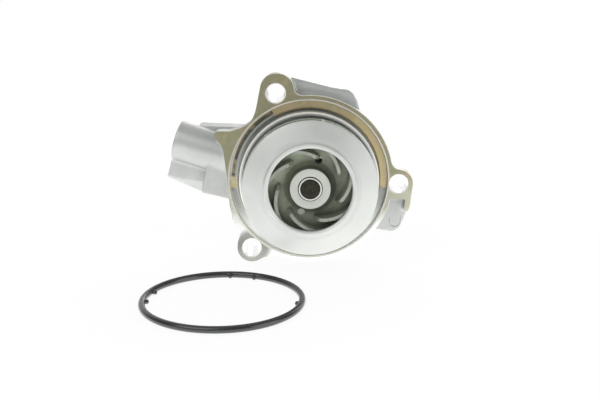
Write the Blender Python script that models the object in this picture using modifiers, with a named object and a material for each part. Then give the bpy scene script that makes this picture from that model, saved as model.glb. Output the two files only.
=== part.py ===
"""Switchable coolant pump for a belt-driven engine: die-cast housing with a
three-bolt flange, closed impeller, sliding sleeve that can cover the impeller
outlet, swash-plate piston pump and solenoid valve that work the sleeve,
integral shaft bearing, face seal and toothed belt pulley. A rubber flange seal
lies loose in front of the pump.

Frame: metres, +Z up. The shaft lies along Y. The impeller faces -Y and the
pulley faces +Y. The origin is on the shaft axis at the rear end of the shaft.
Depth d is measured from the flange's mounting face towards the pulley.
"""

import math

import bmesh
import bpy
from mathutils import Vector

MM = 0.001
GAP = 0.3                    # clearance between pieces that touch, mm

# ---------------------------------------------------------------- dimensions
FLANGE_TO_END = 58.0         # mounting face to rear end of the shaft
FLANGE_R = 42.3
FLANGE_T = 9.0
RECESS_R = 39.64             # seat of the flange seal
RECESS_D = 2.8
BOLT_HOLE_R = 4.55           # clearance holes for M8 bolts
BOLT_TOP = (-16.3, 43.2)
BOLT_RIGHT = (45.0, -2.1)
BOLT_LOW = (-28.9, -34.9)
EAR_TOP = (-15.6, 44.4)
EAR_TOP_R = 8.6
EAR_R = 7.4
FLOOR_Z = -42.3              # lowest edge of the flange and of the low ear

SLEEVE_R = 34.6
SLEEVE_WALL = 0.8
SLEEVE_RIM_IN = 33.0
SLEEVE_FRONT = -5.6
SLEEVE_BACK = 4.4
SLEEVE_TRAVEL = 15.0

TOWER_R = 23.0
TOWER_NOSE = -8.5
CYL_R = 30.3                 # bore of the annular cylinder
CYL_END = 31.3
BODY_R = 37.5
BODY_END = 33.8
REAR_BOSS_R = 19.5
REAR_BOSS_END = 50.0

SEAL_BORE_R = 13.5
SEAL_BORE_END = 5.0
BEARING_R = 15.0
BEARING_FRONT = 12.0
BEARING_BACK = 49.5

SHAFT_R = 7.95
SHAFT_SEAL_R = 6.0
SHAFT_NOSE_R = 4.68
SHAFT_FRONT = -22.2

IMP_R = 32.5
PLATE_FRONT = -14.5
PLATE_BACK = -12.5
HUB_R = 9.68
HUB_FACE = -21.5
HUB_BORE_R = 6.2
EYE_R = 19.9
LIP_R = 22.3
LIP_FACE = -25.5
SHROUD_EDGE = -21.5
BLADES = 7
BLADE_T = 1.8
BLADE_FIRST = 64.3           # angle of the first blade at the eye's edge, degrees
BLADE_SWEEP = 145.0          # degrees per unit of the radius's logarithm
BLADE_ROOT_R = 15.6

BALL_R = 2.5
BALL_PITCH_R = 10.2
BALL_D = 21.0
ROLLER_R = 2.2
ROLLER_PITCH_R = 10.4
ROLLER_D = 40.0
ROLLER_L = 8.0
ROLLING = 7                  # balls in the front row, rollers in the rear row

PULLEY_TEETH = 23
PULLEY_R = 28.6
PULLEY_FRONT = 36.0
PULLEY_BACK = 56.5

PISTON_PUMP = (17.6, 250.0)  # radius and angle of the piston pump's bore
VALVE_END = (-67.1, 18.05)   # centre of the valve boss's open end
VALVE_DEPTH = 16.0
VALVE_SLOPE = 16.0           # degrees that the boss rises away from the shaft
VALVE_R = 10.2
VALVE_BORE_R = 7.6

RING_R = 34.8                # centre line of the loose flange seal
RING_WIRE = 1.55
RING_AT = (-39.4, -60.4)     # x, and distance in front of the mounting face


# ------------------------------------------------------------------- helpers
for old in list(bpy.data.objects):
    bpy.data.objects.remove(old, do_unlink=True)

pump = bpy.data.collections.new("water_pump")
tools = bpy.data.collections.new("cutters")
bpy.context.scene.collection.children.link(pump)
bpy.context.scene.collection.children.link(tools)

materials = {}


def material(name, colour, rough, metal):
    m = bpy.data.materials.new(name)
    m.use_nodes = True
    b = m.node_tree.nodes["Principled BSDF"]
    b.inputs["Base Color"].default_value = (*colour, 1.0)
    b.inputs["Roughness"].default_value = rough
    b.inputs["Metallic"].default_value = metal
    m.diffuse_color = (*colour, 1.0)
    materials[name] = m


material("cast_aluminium", (0.52, 0.54, 0.53), 0.55, 0.6)
material("bright_steel", (0.62, 0.62, 0.60), 0.25, 1.0)
material("sheet_steel", (0.55, 0.57, 0.56), 0.3, 1.0)
material("spring_steel", (0.35, 0.35, 0.36), 0.35, 1.0)
material("shroud_alloy", (0.72, 0.74, 0.73), 0.35, 0.7)
material("impeller_alloy", (0.30, 0.31, 0.27), 0.5, 0.6)
material("brass", (0.60, 0.45, 0.18), 0.35, 1.0)
material("carbon", (0.04, 0.04, 0.045), 0.5, 0.0)
material("ceramic", (0.80, 0.78, 0.72), 0.3, 0.0)
material("rubber", (0.03, 0.03, 0.03), 0.6, 0.0)
material("cage_plastic", (0.18, 0.14, 0.08), 0.5, 0.0)
material("black_plastic", (0.03, 0.03, 0.035), 0.45, 0.0)
material("copper", (0.60, 0.28, 0.14), 0.35, 1.0)
material("pulley_steel", (0.30, 0.31, 0.32), 0.4, 0.9)


def empty(name, place, parent=None, direction=None):
    e = bpy.data.objects.new(name, None)
    e.empty_display_size = 0.01
    pump.objects.link(e)
    e.parent = parent
    e.location = Vector(place) * MM
    if direction is not None:
        e.rotation_euler = Vector(direction).to_track_quat("Z", "Y").to_euler()
    return e


# On this axis local X is world X, local Y is world -Z, and local Z is depth d.
axis = empty("pump_axis", (0, -FLANGE_TO_END, 0))
axis.rotation_euler = (-math.pi / 2, 0, 0)


def finish(obj, mat, parent=None, cutter=False, at=(0, 0, 0)):
    (tools if cutter else pump).objects.link(obj)
    if cutter:
        obj.hide_render = True
        obj.display_type = "WIRE"
    obj.parent = parent if parent is not None else axis
    obj.location = Vector(at) * MM
    if mat:
        obj.data.materials.append(materials[mat])
    return obj


def turned(name, profile, mat=None, steps=24, parent=None, cutter=False, at=(0, 0, 0)):
    """A turned piece. The profile is (radius, depth) in mm: a loop clear of the
    axis, or an open line with both ends on it."""
    closed = all(r > 0 for r, _ in profile)
    area = sum(
        a[0] * b[1] - b[0] * a[1]
        for a, b in zip(profile, profile[1:] + profile[:1])
    )
    pts = list(profile) if area < 0 else list(reversed(profile))
    mesh = bpy.data.meshes.new(name)
    edges = [(i, i + 1) for i in range(len(pts) - 1)]
    if closed:
        edges.append((len(pts) - 1, 0))
    mesh.from_pydata([(r * MM, 0, h * MM) for r, h in pts], edges, [])
    obj = bpy.data.objects.new(name, mesh)
    finish(obj, mat, parent, cutter, at)
    s = obj.modifiers.new("turn", "SCREW")
    s.axis = "Z"
    s.angle = 2 * math.pi
    s.steps = s.render_steps = steps
    s.use_merge_vertices = True
    s.merge_threshold = 0.00001
    s.use_smooth_shade = False
    return obj


def tube(name, r_in, r_out, d0, d1, mat=None, steps=24, parent=None, cutter=False, at=(0, 0, 0), chamfer=0.0):
    c = chamfer
    p = [(r_out - c, d0), (r_out, d0 + c), (r_out, d1 - c), (r_out - c, d1), (r_in, d1), (r_in, d0)]
    if not c:
        p = [(r_out, d0), (r_out, d1), (r_in, d1), (r_in, d0)]
    return turned(name, p, mat, steps, parent, cutter, at)


def rod(name, r, d0, d1, mat=None, steps=20, parent=None, cutter=False, at=(0, 0, 0), chamfer=0.0):
    c = chamfer
    p = [(0, d0), (r - c, d0), (r, d0 + c), (r, d1 - c), (r - c, d1), (0, d1)]
    if not c:
        p = [(0, d0), (r, d0), (r, d1), (0, d1)]
    return turned(name, p, mat, steps, parent, cutter, at)


def as_mesh(curve_obj):
    """Replace a curve object by its evaluated mesh, with its caps welded."""
    bpy.context.view_layer.update()
    deps = bpy.context.evaluated_depsgraph_get()
    mesh = bpy.data.meshes.new_from_object(curve_obj.evaluated_get(deps))
    bm = bmesh.new()
    bm.from_mesh(mesh)
    bmesh.ops.remove_doubles(bm, verts=bm.verts, dist=0.000005)
    bmesh.ops.recalc_face_normals(bm, faces=bm.faces)
    bm.to_mesh(mesh)
    bm.free()
    name = curve_obj.name
    place, parent = curve_obj.location.copy(), curve_obj.parent
    colls = list(curve_obj.users_collection)
    hidden, shown = curve_obj.hide_render, curve_obj.display_type
    mats = [s.material for s in curve_obj.material_slots]
    turn = curve_obj.rotation_euler.copy()
    bpy.data.objects.remove(curve_obj, do_unlink=True)
    obj = bpy.data.objects.new(name, mesh)
    for c in colls:
        c.objects.link(obj)
    obj.parent, obj.location, obj.rotation_euler = parent, place, turn
    obj.hide_render, obj.display_type = hidden, shown
    if not mesh.materials:
        for m in mats:
            mesh.materials.append(m)
    return obj


def plate(name, outlines, d0, d1, mat=None, parent=None, cutter=False):
    """A flat plate between two depths. Outlines are (x, z) in mm; the second
    and later ones are holes."""
    c = bpy.data.curves.new(name, "CURVE")
    c.dimensions = "2D"
    c.fill_mode = "BOTH"
    c.extrude = (d1 - d0) / 2 * MM
    for outline in outlines:
        s = c.splines.new("POLY")
        s.points.add(len(outline) - 1)
        for p, (x, z) in zip(s.points, outline):
            p.co = (x * MM, -z * MM, 0, 1)
        s.use_cyclic_u = True
    obj = bpy.data.objects.new(name, c)
    finish(obj, mat, parent, cutter, (0, 0, (d0 + d1) / 2))
    return as_mesh(obj)


def join(obj, other, operation="UNION"):
    b = obj.modifiers.new(other.name, "BOOLEAN")
    b.operation = operation
    b.object = other
    b.solver = "EXACT"


def cut(obj, other):
    join(obj, other, "DIFFERENCE")


def arc(cx, cz, r, a0, a1, n):
    return [
        (cx + r * math.cos(math.radians(a0 + (a1 - a0) * i / n)),
         cz + r * math.sin(math.radians(a0 + (a1 - a0) * i / n)))
        for i in range(n + 1)
    ]


def smooth(points, n):
    """Points on a Catmull-Rom curve through the given ones, ends kept."""
    out = []
    p = [points[0]] + list(points) + [points[-1]]
    for i in range(1, len(p) - 2):
        for k in range(n):
            t = k / n
            out.append(tuple(
                0.5 * (2 * p[i][j] + (p[i + 1][j] - p[i - 1][j]) * t
                       + (2 * p[i - 1][j] - 5 * p[i][j] + 4 * p[i + 1][j] - p[i + 2][j]) * t * t
                       + (3 * p[i][j] - p[i - 1][j] - 3 * p[i + 1][j] + p[i + 2][j]) * t ** 3)
                for j in (0, 1)))
    out.append(tuple(points[-1]))
    return out


def coil(name, r, wire, d0, d1, turns, mat, parent=None, at=(0, 0, 0), per_turn=14):
    """A compression spring with closed end turns, as a bevelled curve."""
    c = bpy.data.curves.new(name, "CURVE")
    c.dimensions = "3D"
    c.bevel_depth = wire / 2 * MM
    c.bevel_resolution = 0
    c.use_fill_caps = True
    n = int(turns * per_turn)
    s = c.splines.new("POLY")
    s.points.add(n)
    h0, h1 = d0 + wire / 2, d1 - wire / 2
    for i, p in enumerate(s.points):
        t = i / n
        a = 2 * math.pi * turns * t
        e = 1.0 / turns
        flat = wire * 1.15
        if t < e:
            h = h0 + flat * t / e
        elif t > 1 - e:
            h = h1 - flat * (1 - t) / e
        else:
            h = h0 + flat + (h1 - h0 - 2 * flat) * (t - e) / (1 - 2 * e)
        p.co = (r * MM * math.cos(a), r * MM * math.sin(a), h * MM, 1)
    obj = bpy.data.objects.new(name, c)
    finish(obj, mat, parent, False, at)
    return as_mesh(obj)


def polar(r, deg):
    a = math.radians(deg)
    return (r * math.cos(a), r * math.sin(a))


def on_axis(r, deg, d=0.0):
    """A place given by radius, angle seen from the front, and depth."""
    x, z = polar(r, deg)
    return (x, -z, d)


# ------------------------------------------------------------------- housing
def flange_outline():
    pts = []
    pts += smooth([(-28.2, 29.9), (-26.7, 33.4), (-25.8, 36.9), (-25.0, 40.9)], 1)
    pts += arc(*EAR_TOP, EAR_TOP_R, 160, 8, 9)
    pts += smooth([(-7.0, 44.6), (-6.2, 43.3), (-4.6, 42.35)], 2)
    pts += arc(0, 0, FLANGE_R, 94, 16, 14)
    pts += smooth([(41.2, 8.9), (42.3, 6.8), (43.8, 5.6)], 2)
    pts += arc(*BOLT_RIGHT, EAR_R, 86, -6, 8)
    pts += [(51.8, -7.5), (51.1, -13.5), (50.2, -15.9), (49.1, -16.4), (48.1, -15.4), (48.8, -10.6)]
    pts += smooth([(47.6, -9.7), (44.6, -10.2), (41.4, -9.4)], 2)
    pts += arc(0, 0, FLANGE_R, -14, -109, 16)
    pts += smooth([(-16.2, -39.2), (-19.0, -39.4), (-22.4, -39.9)], 2)
    pts += arc(*BOLT_LOW, EAR_R, -52, -182, 10)
    pts += smooth([(-36.0, -31.6), (-34.7, -28.4), (-34.6, -25.6), (-36.6, -23.4),
                   (-38.6, -20.6), (-38.8, -17.6), (-39.6, -14.0), (-40.2, -9.0),
                   (-40.7, -3.0), (-41.0, 3.0), (-41.8, 9.3), (-42.5, 15.0),
                   (-43.9, 18.3), (-46.0, 20.9), (-46.8, 22.9), (-45.6, 24.6),
                   (-43.0, 24.9), (-38.9, 24.9), (-33.4, 26.5), (-30.2, 28.1)], 1)
    return pts


housing = plate("pump_housing", [flange_outline()], 0, FLANGE_T, "cast_aluminium")

rear_body = turned("body_shape", [
    (0, 4.0), (BODY_R, 4.0), (BODY_R, BODY_END - 2), (BODY_R - 2, BODY_END),
    (REAR_BOSS_R + 2, BODY_END), (REAR_BOSS_R, BODY_END + 2), (REAR_BOSS_R, REAR_BOSS_END - 0.6),
    (REAR_BOSS_R - 0.6, REAR_BOSS_END), (0, REAR_BOSS_END)], steps=36, cutter=True)
join(housing, rear_body)

# Casting behind the top ear that runs to the right.
join(housing, plate("top_casting_shape", [[
    (-23.5, 44.0), (-21.5, 48.6), (-16.0, 50.6), (-8.4, 50.4), (12.0, 45.3), (16.3, 44.6), (19.9, 44.2),
    (22.4, 42.3), (24.3, 38.8), (25.3, 35.1), (28.5, 29.0), (20.0, 22.0),
    (-18.0, 24.0), (-26.0, 30.0)]], 7.6, 25.0, cutter=True))
# Pad behind the right ear.
join(housing, plate("right_pad_shape", [[
    (32.0, -6.0), (49.2, -6.0), (50.1, -12.0), (50.1, -18.0), (47.6, -24.6), (46.2, -26.8),
    (43.0, -28.3), (34.6, -27.1), (26.0, -22.0)]], 5.2, 15.0, cutter=True))
# Boss behind the low ear.
join(housing, rod("low_boss_shape", 6.6, 6.5, 18.0, steps=16, cutter=True, at=(BOLT_LOW[0], -BOLT_LOW[1], 0)))
join(housing, plate("low_web_shape", [[
    (-34.5, -33.0), (-24.0, -39.5), (-18.0, -25.0), (-26.0, -18.0)]], 6.7, 17.0, cutter=True))

# Valve boss: a round socket, the slab under it and the block that ties it in.
slope = math.radians(VALVE_SLOPE)
valve_dir = Vector((math.cos(slope), math.sin(slope), -0.10)).normalized()
valve_axis = empty("valve_axis", (VALVE_END[0], -VALVE_END[1], VALVE_DEPTH), axis, valve_dir)
join(housing, plate("valve_block_shape", [[
    (-50.6, 13.5), (-46.0, 18.5), (-33.0, 22.0), (-24.0, 18.0), (-26.0, -17.0), (-38.0, -11.6),
    (-41.0, -10.8), (-54.9, -7.5), (-51.8, 4.2)]], 5.6, 30.0, cutter=True))
join(housing, plate("valve_block_top_shape", [[
    (-57.3, 25.5), (-46.0, 25.0), (-32.0, 24.5), (-24.5, 17.5), (-26.5, 5.0), (-52.5, 8.0)]], 15.0, 29.5, cutter=True))
join(housing, plate("valve_slab_shape", [[
    (-69.0, 13.0), (-69.9, 8.5), (-72.8, -0.6), (-72.2, -1.9), (-67.5, -3.9), (-56.0, -8.0), (-49.0, -8.3),
    (-46.0, 8.0)]], 13.4, 27.0, cutter=True))
join(housing, rod("valve_boss_shape", VALVE_R, 0.0, 34.0, steps=28, parent=valve_axis, cutter=True, chamfer=0.5))

# Front void: seal recess, sleeve pocket and annular cylinder, around the tower.
cut(housing, turned("front_void", [
    (RECESS_R, -3.0), (RECESS_R, RECESS_D), (SLEEVE_R + 0.9, RECESS_D), (SLEEVE_R + 0.9, 5.6),
    (CYL_R, 5.6), (CYL_R, CYL_END), (TOWER_R, CYL_END), (TOWER_R, -3.0)], steps=36, cutter=True))
# Tower nose ahead of the mounting face.
join(housing, turned("tower_nose_shape", [
    (0, TOWER_NOSE), (TOWER_R - 0.8, TOWER_NOSE), (TOWER_R - 0.15, TOWER_NOSE + 0.6),
    (TOWER_R - 0.15, 6.0), (0, 6.0)], steps=36, cutter=True))
cut(housing, tube("circlip_groove", TOWER_R - 0.9, TOWER_R + 2.0, -7.7, -6.3, steps=36, cutter=True))
# Bores on the shaft axis: face seal, leak chamber, bearing.
cut(housing, turned("axis_bore", [
    (0, TOWER_NOSE - 4), (SEAL_BORE_R, TOWER_NOSE - 4), (SEAL_BORE_R, SEAL_BORE_END),
    (11.5, SEAL_BORE_END), (11.5, BEARING_FRONT - GAP), (BEARING_R + 0.25, BEARING_FRONT - GAP),
    (BEARING_R + 0.25, REAR_BOSS_END + 4), (0, REAR_BOSS_END + 4)], steps=24, cutter=True))
# Deeper pocket of the seal recess at the upper left.
cut(housing, plate("recess_pocket", [
    arc(0, 0, 39.0, 118, 178, 12) + arc(0, 0, 34.0, 178, 118, 12)], 1.0, 5.0, cutter=True))
for label, place in (("top", BOLT_TOP), ("right", BOLT_RIGHT), ("low", BOLT_LOW)):
    cut(housing, rod("bolt_hole_" + label, BOLT_HOLE_R, -5, 40, steps=20, cutter=True,
                     at=(place[0], -place[1], 0)))
cut(housing, rod("piston_pump_bore", 3.5, TOWER_NOSE - 4, 11.2, steps=20, cutter=True,
                 at=on_axis(*PISTON_PUMP)))
cut(housing, rod("valve_bore", VALVE_BORE_R, -5.0, 25.0, steps=20, parent=valve_axis, cutter=True))
cut(housing, rod("plug_bore", 4.2, -6.0, 8.0, steps=16, cutter=True,
                 parent=empty("plug_axis", (22.5, -36.0, 17.0), axis, (-0.94, 0.34, 0))))

# --------------------------------------------------- sleeve and its hydraulics
turned("regulating_sleeve", [
    (SLEEVE_R, SLEEVE_FRONT + 0.7), (SLEEVE_R, SLEEVE_BACK - 0.4), (SLEEVE_R - 0.4, SLEEVE_BACK),
    (29.0, SLEEVE_BACK), (29.0, SLEEVE_BACK - 0.9), (SLEEVE_R - SLEEVE_WALL, SLEEVE_BACK - 0.9),
    (SLEEVE_R - SLEEVE_WALL, SLEEVE_FRONT + 0.8), (SLEEVE_RIM_IN, SLEEVE_FRONT + 0.8),
    (SLEEVE_RIM_IN, SLEEVE_FRONT), (SLEEVE_R - 0.7, SLEEVE_FRONT)], "sheet_steel", 36)
turned("annular_piston", [
    (29.9, SLEEVE_BACK + GAP), (29.9, 28.9), (23.4, 28.9), (23.4, 11.0), (24.2, 11.0), (24.2, 27.4),
    (29.1, 27.4), (29.1, SLEEVE_BACK + GAP)], "sheet_steel", 36)
turned("piston_lip_seal", [
    (30.0, 29.2), (30.0, 30.9), (28.6, 30.2), (24.7, 30.2), (23.35, 30.9), (23.35, 29.2)], "rubber", 36)
turned("spring_retainer", [
    (28.6, -6.0), (28.6, -4.2), (28.0, -4.2), (28.0, -5.1), (23.4, -5.1), (23.4, -6.0)],
    "bright_steel", 24)
coil("return_spring", 26.6, 1.7, -4.8, 27.1, 5.0, "spring_steel", per_turn=16)


def ring_with_gap(name, r_in, r_out, d0, d1, gap_at, gap, mat):
    """A snap ring: a flat ring open over a small angle."""
    a0, a1 = gap_at + gap / 2, gap_at + 360 - gap / 2
    outline = arc(0, 0, r_out, a0, a1, 22) + arc(0, 0, r_in, a1, a0, 22)
    return plate(name, [outline], d0, d1, mat)


ring_with_gap("retainer_circlip", 22.35, 24.9, -7.5, -6.5, 90, 24, "spring_steel")

# Piston pump driven by the swash ring.
pump_axis = empty("piston_pump_axis", on_axis(*PISTON_PUMP), axis)
tube("pump_piston_liner", 2.35, 3.2, -8.3, 10.9, "bright_steel", 20, pump_axis)
turned("pump_piston", [
    (0, -9.35), (1.2, -9.1), (2.0, -8.2), (2.0, 1.5), (1.2, 1.5), (1.2, -3.5), (0, -3.5)],
    "bright_steel", 16, pump_axis)
coil("pump_piston_spring", 1.62, 0.55, 1.8, 6.6, 4.0, "spring_steel", pump_axis, per_turn=8)
ball = bpy.data.meshes.new("pump_check_ball")
bm = bmesh.new()
bmesh.ops.create_icosphere(bm, subdivisions=2, radius=1.9 * MM)
bm.to_mesh(ball)
bm.free()
finish(bpy.data.objects.new("pump_check_ball", ball), "bright_steel", pump_axis, False, (0, 0, 8.8))

# ------------------------------------------------------------------ solenoid
turned("valve_body", [
    (7.3, 5.6), (7.3, 24.4), (1.3, 24.4), (1.3, 22.9), (6.2, 22.9), (6.2, 5.6)],
    "bright_steel", 20, valve_axis)
tube("valve_coil", 3.4, 5.85, 8.0, 19.0, "copper", 20, valve_axis, chamfer=0.3)
turned("valve_armature", [
    (0, 8.6), (2.6, 8.6), (2.6, 17.4), (1.0, 18.6), (0, 18.6)], "bright_steel", 20, valve_axis)
coil("valve_spring", 1.75, 0.5, 18.9, 22.6, 4.0, "spring_steel", valve_axis, per_turn=8)
socket = turned("valve_socket", [
    (0, 3.4), (5.6, 3.4), (5.6, 0.6), (7.2, 0.6), (7.2, 5.3), (5.9, 5.3), (5.9, 7.7), (0, 7.7)],
    "black_plastic", 20, valve_axis)
for i, off in enumerate((-2.1, 2.1)):
    cut(socket, rod("pin_hole_%d" % (i + 1), 0.85, 1.0, 9.0, steps=8, parent=valve_axis,
                    cutter=True, at=(off, 0, 0)))
    rod("valve_pin_%d" % (i + 1), 0.55, 1.4, 7.2, "brass", 8, valve_axis, at=(off, 0, 0), chamfer=0.15)

plug_axis = bpy.data.objects["plug_axis"]
turned("passage_plug", [
    (0, 1.2), (2.4, 1.2), (2.4, 0.4), (3.9, 0.4), (3.9, 5.5), (0, 5.5)], "bright_steel", 16, plug_axis)

# ------------------------------------------------------------------- bearing
turned("bearing_outer_ring", [
    (BEARING_R - 0.4, BEARING_FRONT), (BEARING_R, BEARING_FRONT + 0.4),
    (BEARING_R, BEARING_BACK - 0.4), (BEARING_R - 0.4, BEARING_BACK),
    (13.3, BEARING_BACK), (13.3, BEARING_BACK - 2.4), (12.3, BEARING_BACK - 2.4),
    (12.3, ROLLER_D + 4.6), (12.9, ROLLER_D + 4.6), (12.9, ROLLER_D - 4.6), (12.3, ROLLER_D - 4.6),
    (12.3, BALL_D + 2.0), (12.95, BALL_D + 1.1), (12.95, BALL_D - 1.1), (12.3, BALL_D - 2.0),
    (12.3, BEARING_FRONT + 2.4), (13.3, BEARING_FRONT + 2.4), (13.3, BEARING_FRONT)],
    "bright_steel", 24)
for label, d0 in (("front", BEARING_FRONT + 0.3), ("rear", BEARING_BACK - 2.1)):
    turned("bearing_seal_" + label, [
        (13.0, d0), (13.0, d0 + 1.8), (9.4, d0 + 1.8), (8.3, d0 + 1.4), (8.3, d0 + 0.6), (9.4, d0)],
        "rubber", 24)

for name, pitch, d, half in (("ball_cage", BALL_PITCH_R, BALL_D, 4.0), ("roller_cage", ROLLER_PITCH_R, ROLLER_D, 5.6)):
    cage = tube(name, pitch - 0.9, pitch + 0.9, d - half, d + half, "cage_plastic", 28)
    for i in range(ROLLING):
        at = on_axis(pitch, i * 360.0 / ROLLING + 12, d)
        spoke = empty("%s_spoke_%d" % (name, i + 1), at, axis, (at[0], at[1], 0))
        if name == "ball_cage":
            cut(cage, rod("ball_pocket_%d" % (i + 1), BALL_R + 0.28, -3, 3, steps=10, parent=spoke, cutter=True))
        else:
            mesh = bpy.data.meshes.new("roller_pocket")
            bm = bmesh.new()
            bmesh.ops.create_cube(bm, size=1.0)
            a = math.radians(i * 360.0 / ROLLING + 12)
            for v in bm.verts:
                r, t, h = v.co.x * 6 * MM, v.co.y * 2 * (ROLLER_R + 0.3) * MM, v.co.z * (ROLLER_L + 0.6) * MM
                v.co = (r * math.cos(a) + t * math.sin(a), -r * math.sin(a) + t * math.cos(a), h)
            bmesh.ops.recalc_face_normals(bm, faces=bm.faces)
            bm.to_mesh(mesh)
            bm.free()
            box = bpy.data.objects.new("roller_pocket_%d" % (i + 1), mesh)
            finish(box, None, axis, True, at)
            cut(cage, box)

ball_mesh = bpy.data.meshes.new("bearing_ball")
bm = bmesh.new()
bmesh.ops.create_icosphere(bm, subdivisions=2, radius=BALL_R * MM)
bm.to_mesh(ball_mesh)
bm.free()
ball_mesh.materials.append(materials["bright_steel"])
for i in range(ROLLING):
    a = i * 360.0 / ROLLING + 12
    finish(bpy.data.objects.new("bearing_ball_%d" % (i + 1), ball_mesh), None, axis, False,
           on_axis(BALL_PITCH_R, a, BALL_D))
    rod("bearing_roller_%d" % (i + 1), ROLLER_R, -ROLLER_L / 2, ROLLER_L / 2, "bright_steel", 10,
        axis, at=on_axis(ROLLER_PITCH_R, a, ROLLER_D))

# ----------------------------------------------------------------- face seal
turned("seal_cup", [
    (13.2, -6.9), (13.2, 4.6), (6.9, 4.6), (6.9, 3.8), (12.5, 3.8), (12.5, -6.9)], "brass", 24)
turned("seal_bellows", [
    (9.2, -5.2), (9.2, -3.6), (7.6, -3.0), (8.6, -1.4), (7.6, 0.2), (9.0, 1.6), (9.0, 3.5),
    (6.5, 3.5), (6.5, -5.2)], "rubber", 24)
coil("seal_spring", 10.8, 1.1, -5.0, 3.5, 3.5, "spring_steel", per_turn=12)
turned("seal_carbon_ring", [
    (10.4, -9.5), (10.4, -8.0), (11.9, -7.4), (11.9, -5.5), (6.8, -5.5), (6.8, -9.5)], "carbon", 24)
tube("seal_seat_ring", 6.4, 11.0, -12.1, -9.8, "ceramic", 24)
tube("seal_seat_boot", 11.3, 12.7, -12.1, -10.3, "rubber", 24)

# --------------------------------------------------------------------- rotor
turned("pump_shaft", [
    (0, SHAFT_FRONT + 0.5), (0.7, SHAFT_FRONT), (SHAFT_NOSE_R - 0.4, SHAFT_FRONT),
    (SHAFT_NOSE_R, SHAFT_FRONT + 0.4), (SHAFT_NOSE_R, -12.3), (SHAFT_SEAL_R, -12.3),
    (SHAFT_SEAL_R, 8.5), (SHAFT_R, 10.0), (SHAFT_R, BALL_D - 1.8), (7.45, BALL_D - 1.1),
    (7.45, BALL_D + 1.1), (SHAFT_R, BALL_D + 1.8), (SHAFT_R, FLANGE_TO_END - 0.6),
    (SHAFT_R - 0.6, FLANGE_TO_END), (0, FLANGE_TO_END)], "bright_steel", 24)

tube("hub_bush", SHAFT_NOSE_R + GAP, HUB_BORE_R - GAP, HUB_FACE + 0.4, -12.6, "bright_steel", 24)

impeller = turned("impeller_body", [
    (HUB_R - 0.4, HUB_FACE), (HUB_R, HUB_FACE + 0.4), (HUB_R + 0.5, PLATE_FRONT - 1.6),
    (HUB_R + 1.9, PLATE_FRONT - 0.3), (HUB_R + 3.0, PLATE_FRONT), (IMP_R - 0.2, PLATE_FRONT),
    (IMP_R, PLATE_FRONT + 0.2), (IMP_R, PLATE_BACK - 0.2), (IMP_R - 0.2, PLATE_BACK),
    (HUB_BORE_R, PLATE_BACK), (HUB_BORE_R, HUB_FACE)], "impeller_alloy", 36)


def shroud_inner(r):
    """Depth of the shroud's inner side at radius r."""
    t = (r - EYE_R) / (IMP_R - EYE_R)
    return -23.4 + 3.1 * t ** 0.8 if t > 0 else -23.4


def blade_outline(first):
    """A backward-swept blade of even thickness, as (x, z) points."""
    left, right = [], []
    n = 7
    for i in range(n):
        r = BLADE_ROOT_R + (IMP_R - 0.5 - BLADE_ROOT_R) * i / (n - 1)
        x, z = polar(r, first + BLADE_SWEEP * math.log(r / EYE_R))
        left.append((x, z))
    for i, (x, z) in enumerate(left):
        a = left[max(i - 1, 0)]
        b = left[min(i + 1, n - 1)]
        tx, tz = b[0] - a[0], b[1] - a[1]
        k = math.hypot(tx, tz)
        w = BLADE_T / 2 * (0.6 if i in (0, n - 1) else 1.0)
        right.append((x - tz / k * w, z + tx / k * w))
        left[i] = (x, z)
    outer = [(2 * x - rx, 2 * z - rz) for (x, z), (rx, rz) in zip(left, right)]
    return outer + right[::-1]


envelope = turned("blade_envelope", [
    (IMP_R - 0.3, shroud_inner(IMP_R) + GAP), (IMP_R - 0.3, PLATE_FRONT + 0.8),
    (10.5, PLATE_FRONT + 0.8), (10.5, -20.0), (15.0, -22.4),
    (EYE_R, shroud_inner(EYE_R) + GAP), (24.0, shroud_inner(24.0) + GAP), (28.0, shroud_inner(28.0) + GAP)],
    steps=36, cutter=True)
for k in range(BLADES):
    blade = plate("blade_%d" % (k + 1), [blade_outline(BLADE_FIRST + k * 360.0 / BLADES)], -26.0, PLATE_FRONT + 0.6, cutter=True)
    join(blade, envelope, "INTERSECT")
    join(impeller, blade)
for i, a in enumerate((71.6, 251.6)):
    cut(impeller, rod("balance_hole_%d" % (i + 1), 1.75, PLATE_FRONT - 4, PLATE_BACK + 4, steps=16,
                      cutter=True, at=on_axis(13.3, a)))

turned("impeller_shroud", [
    (EYE_R, LIP_FACE + 0.5), (EYE_R + 0.6, LIP_FACE), (LIP_R - 0.5, LIP_FACE),
    (LIP_R, LIP_FACE + 0.5), (LIP_R + 0.1, LIP_FACE + 1.1), (24.5, -24.0), (28.0, -22.9),
    (IMP_R - 0.5, SHROUD_EDGE - 0.1), (IMP_R, SHROUD_EDGE + 0.3), (IMP_R, shroud_inner(IMP_R)),
    (28.0, shroud_inner(28.0)), (24.0, shroud_inner(24.0)), (EYE_R, shroud_inner(EYE_R))],
    "shroud_alloy", 36)

# Swash ring: a turned ring with its rear face cut at a slant.
swash = tube("swash_ring", 14.2, 21.6, -12.2, -9.0, "bright_steel", 24)
wedge = bpy.data.meshes.new("swash_cut")
bm = bmesh.new()
bmesh.ops.create_cube(bm, size=60 * MM)
bm.to_mesh(wedge)
bm.free()
slant = bpy.data.objects.new("swash_cut", wedge)
tilt = math.atan(2.0 / 43.2)
finish(slant, None, axis, True, (0, 0, -10.75 + 30 / math.cos(tilt)))
slant.rotation_euler = (tilt, 0, 0)
cut(swash, slant)


def tooth_outline():
    """Round-tooth belt pulley: teeth with rounded flanks between grooves."""
    pts = []
    for i in range(PULLEY_TEETH):
        for part, drop in ((0.0, 0.0), (0.30, 0.0), (0.44, 2.2), (0.65, 3.0), (0.86, 2.2)):
            pts.append(polar(PULLEY_R - drop, (i + part) * 360.0 / PULLEY_TEETH))
    return pts


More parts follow.
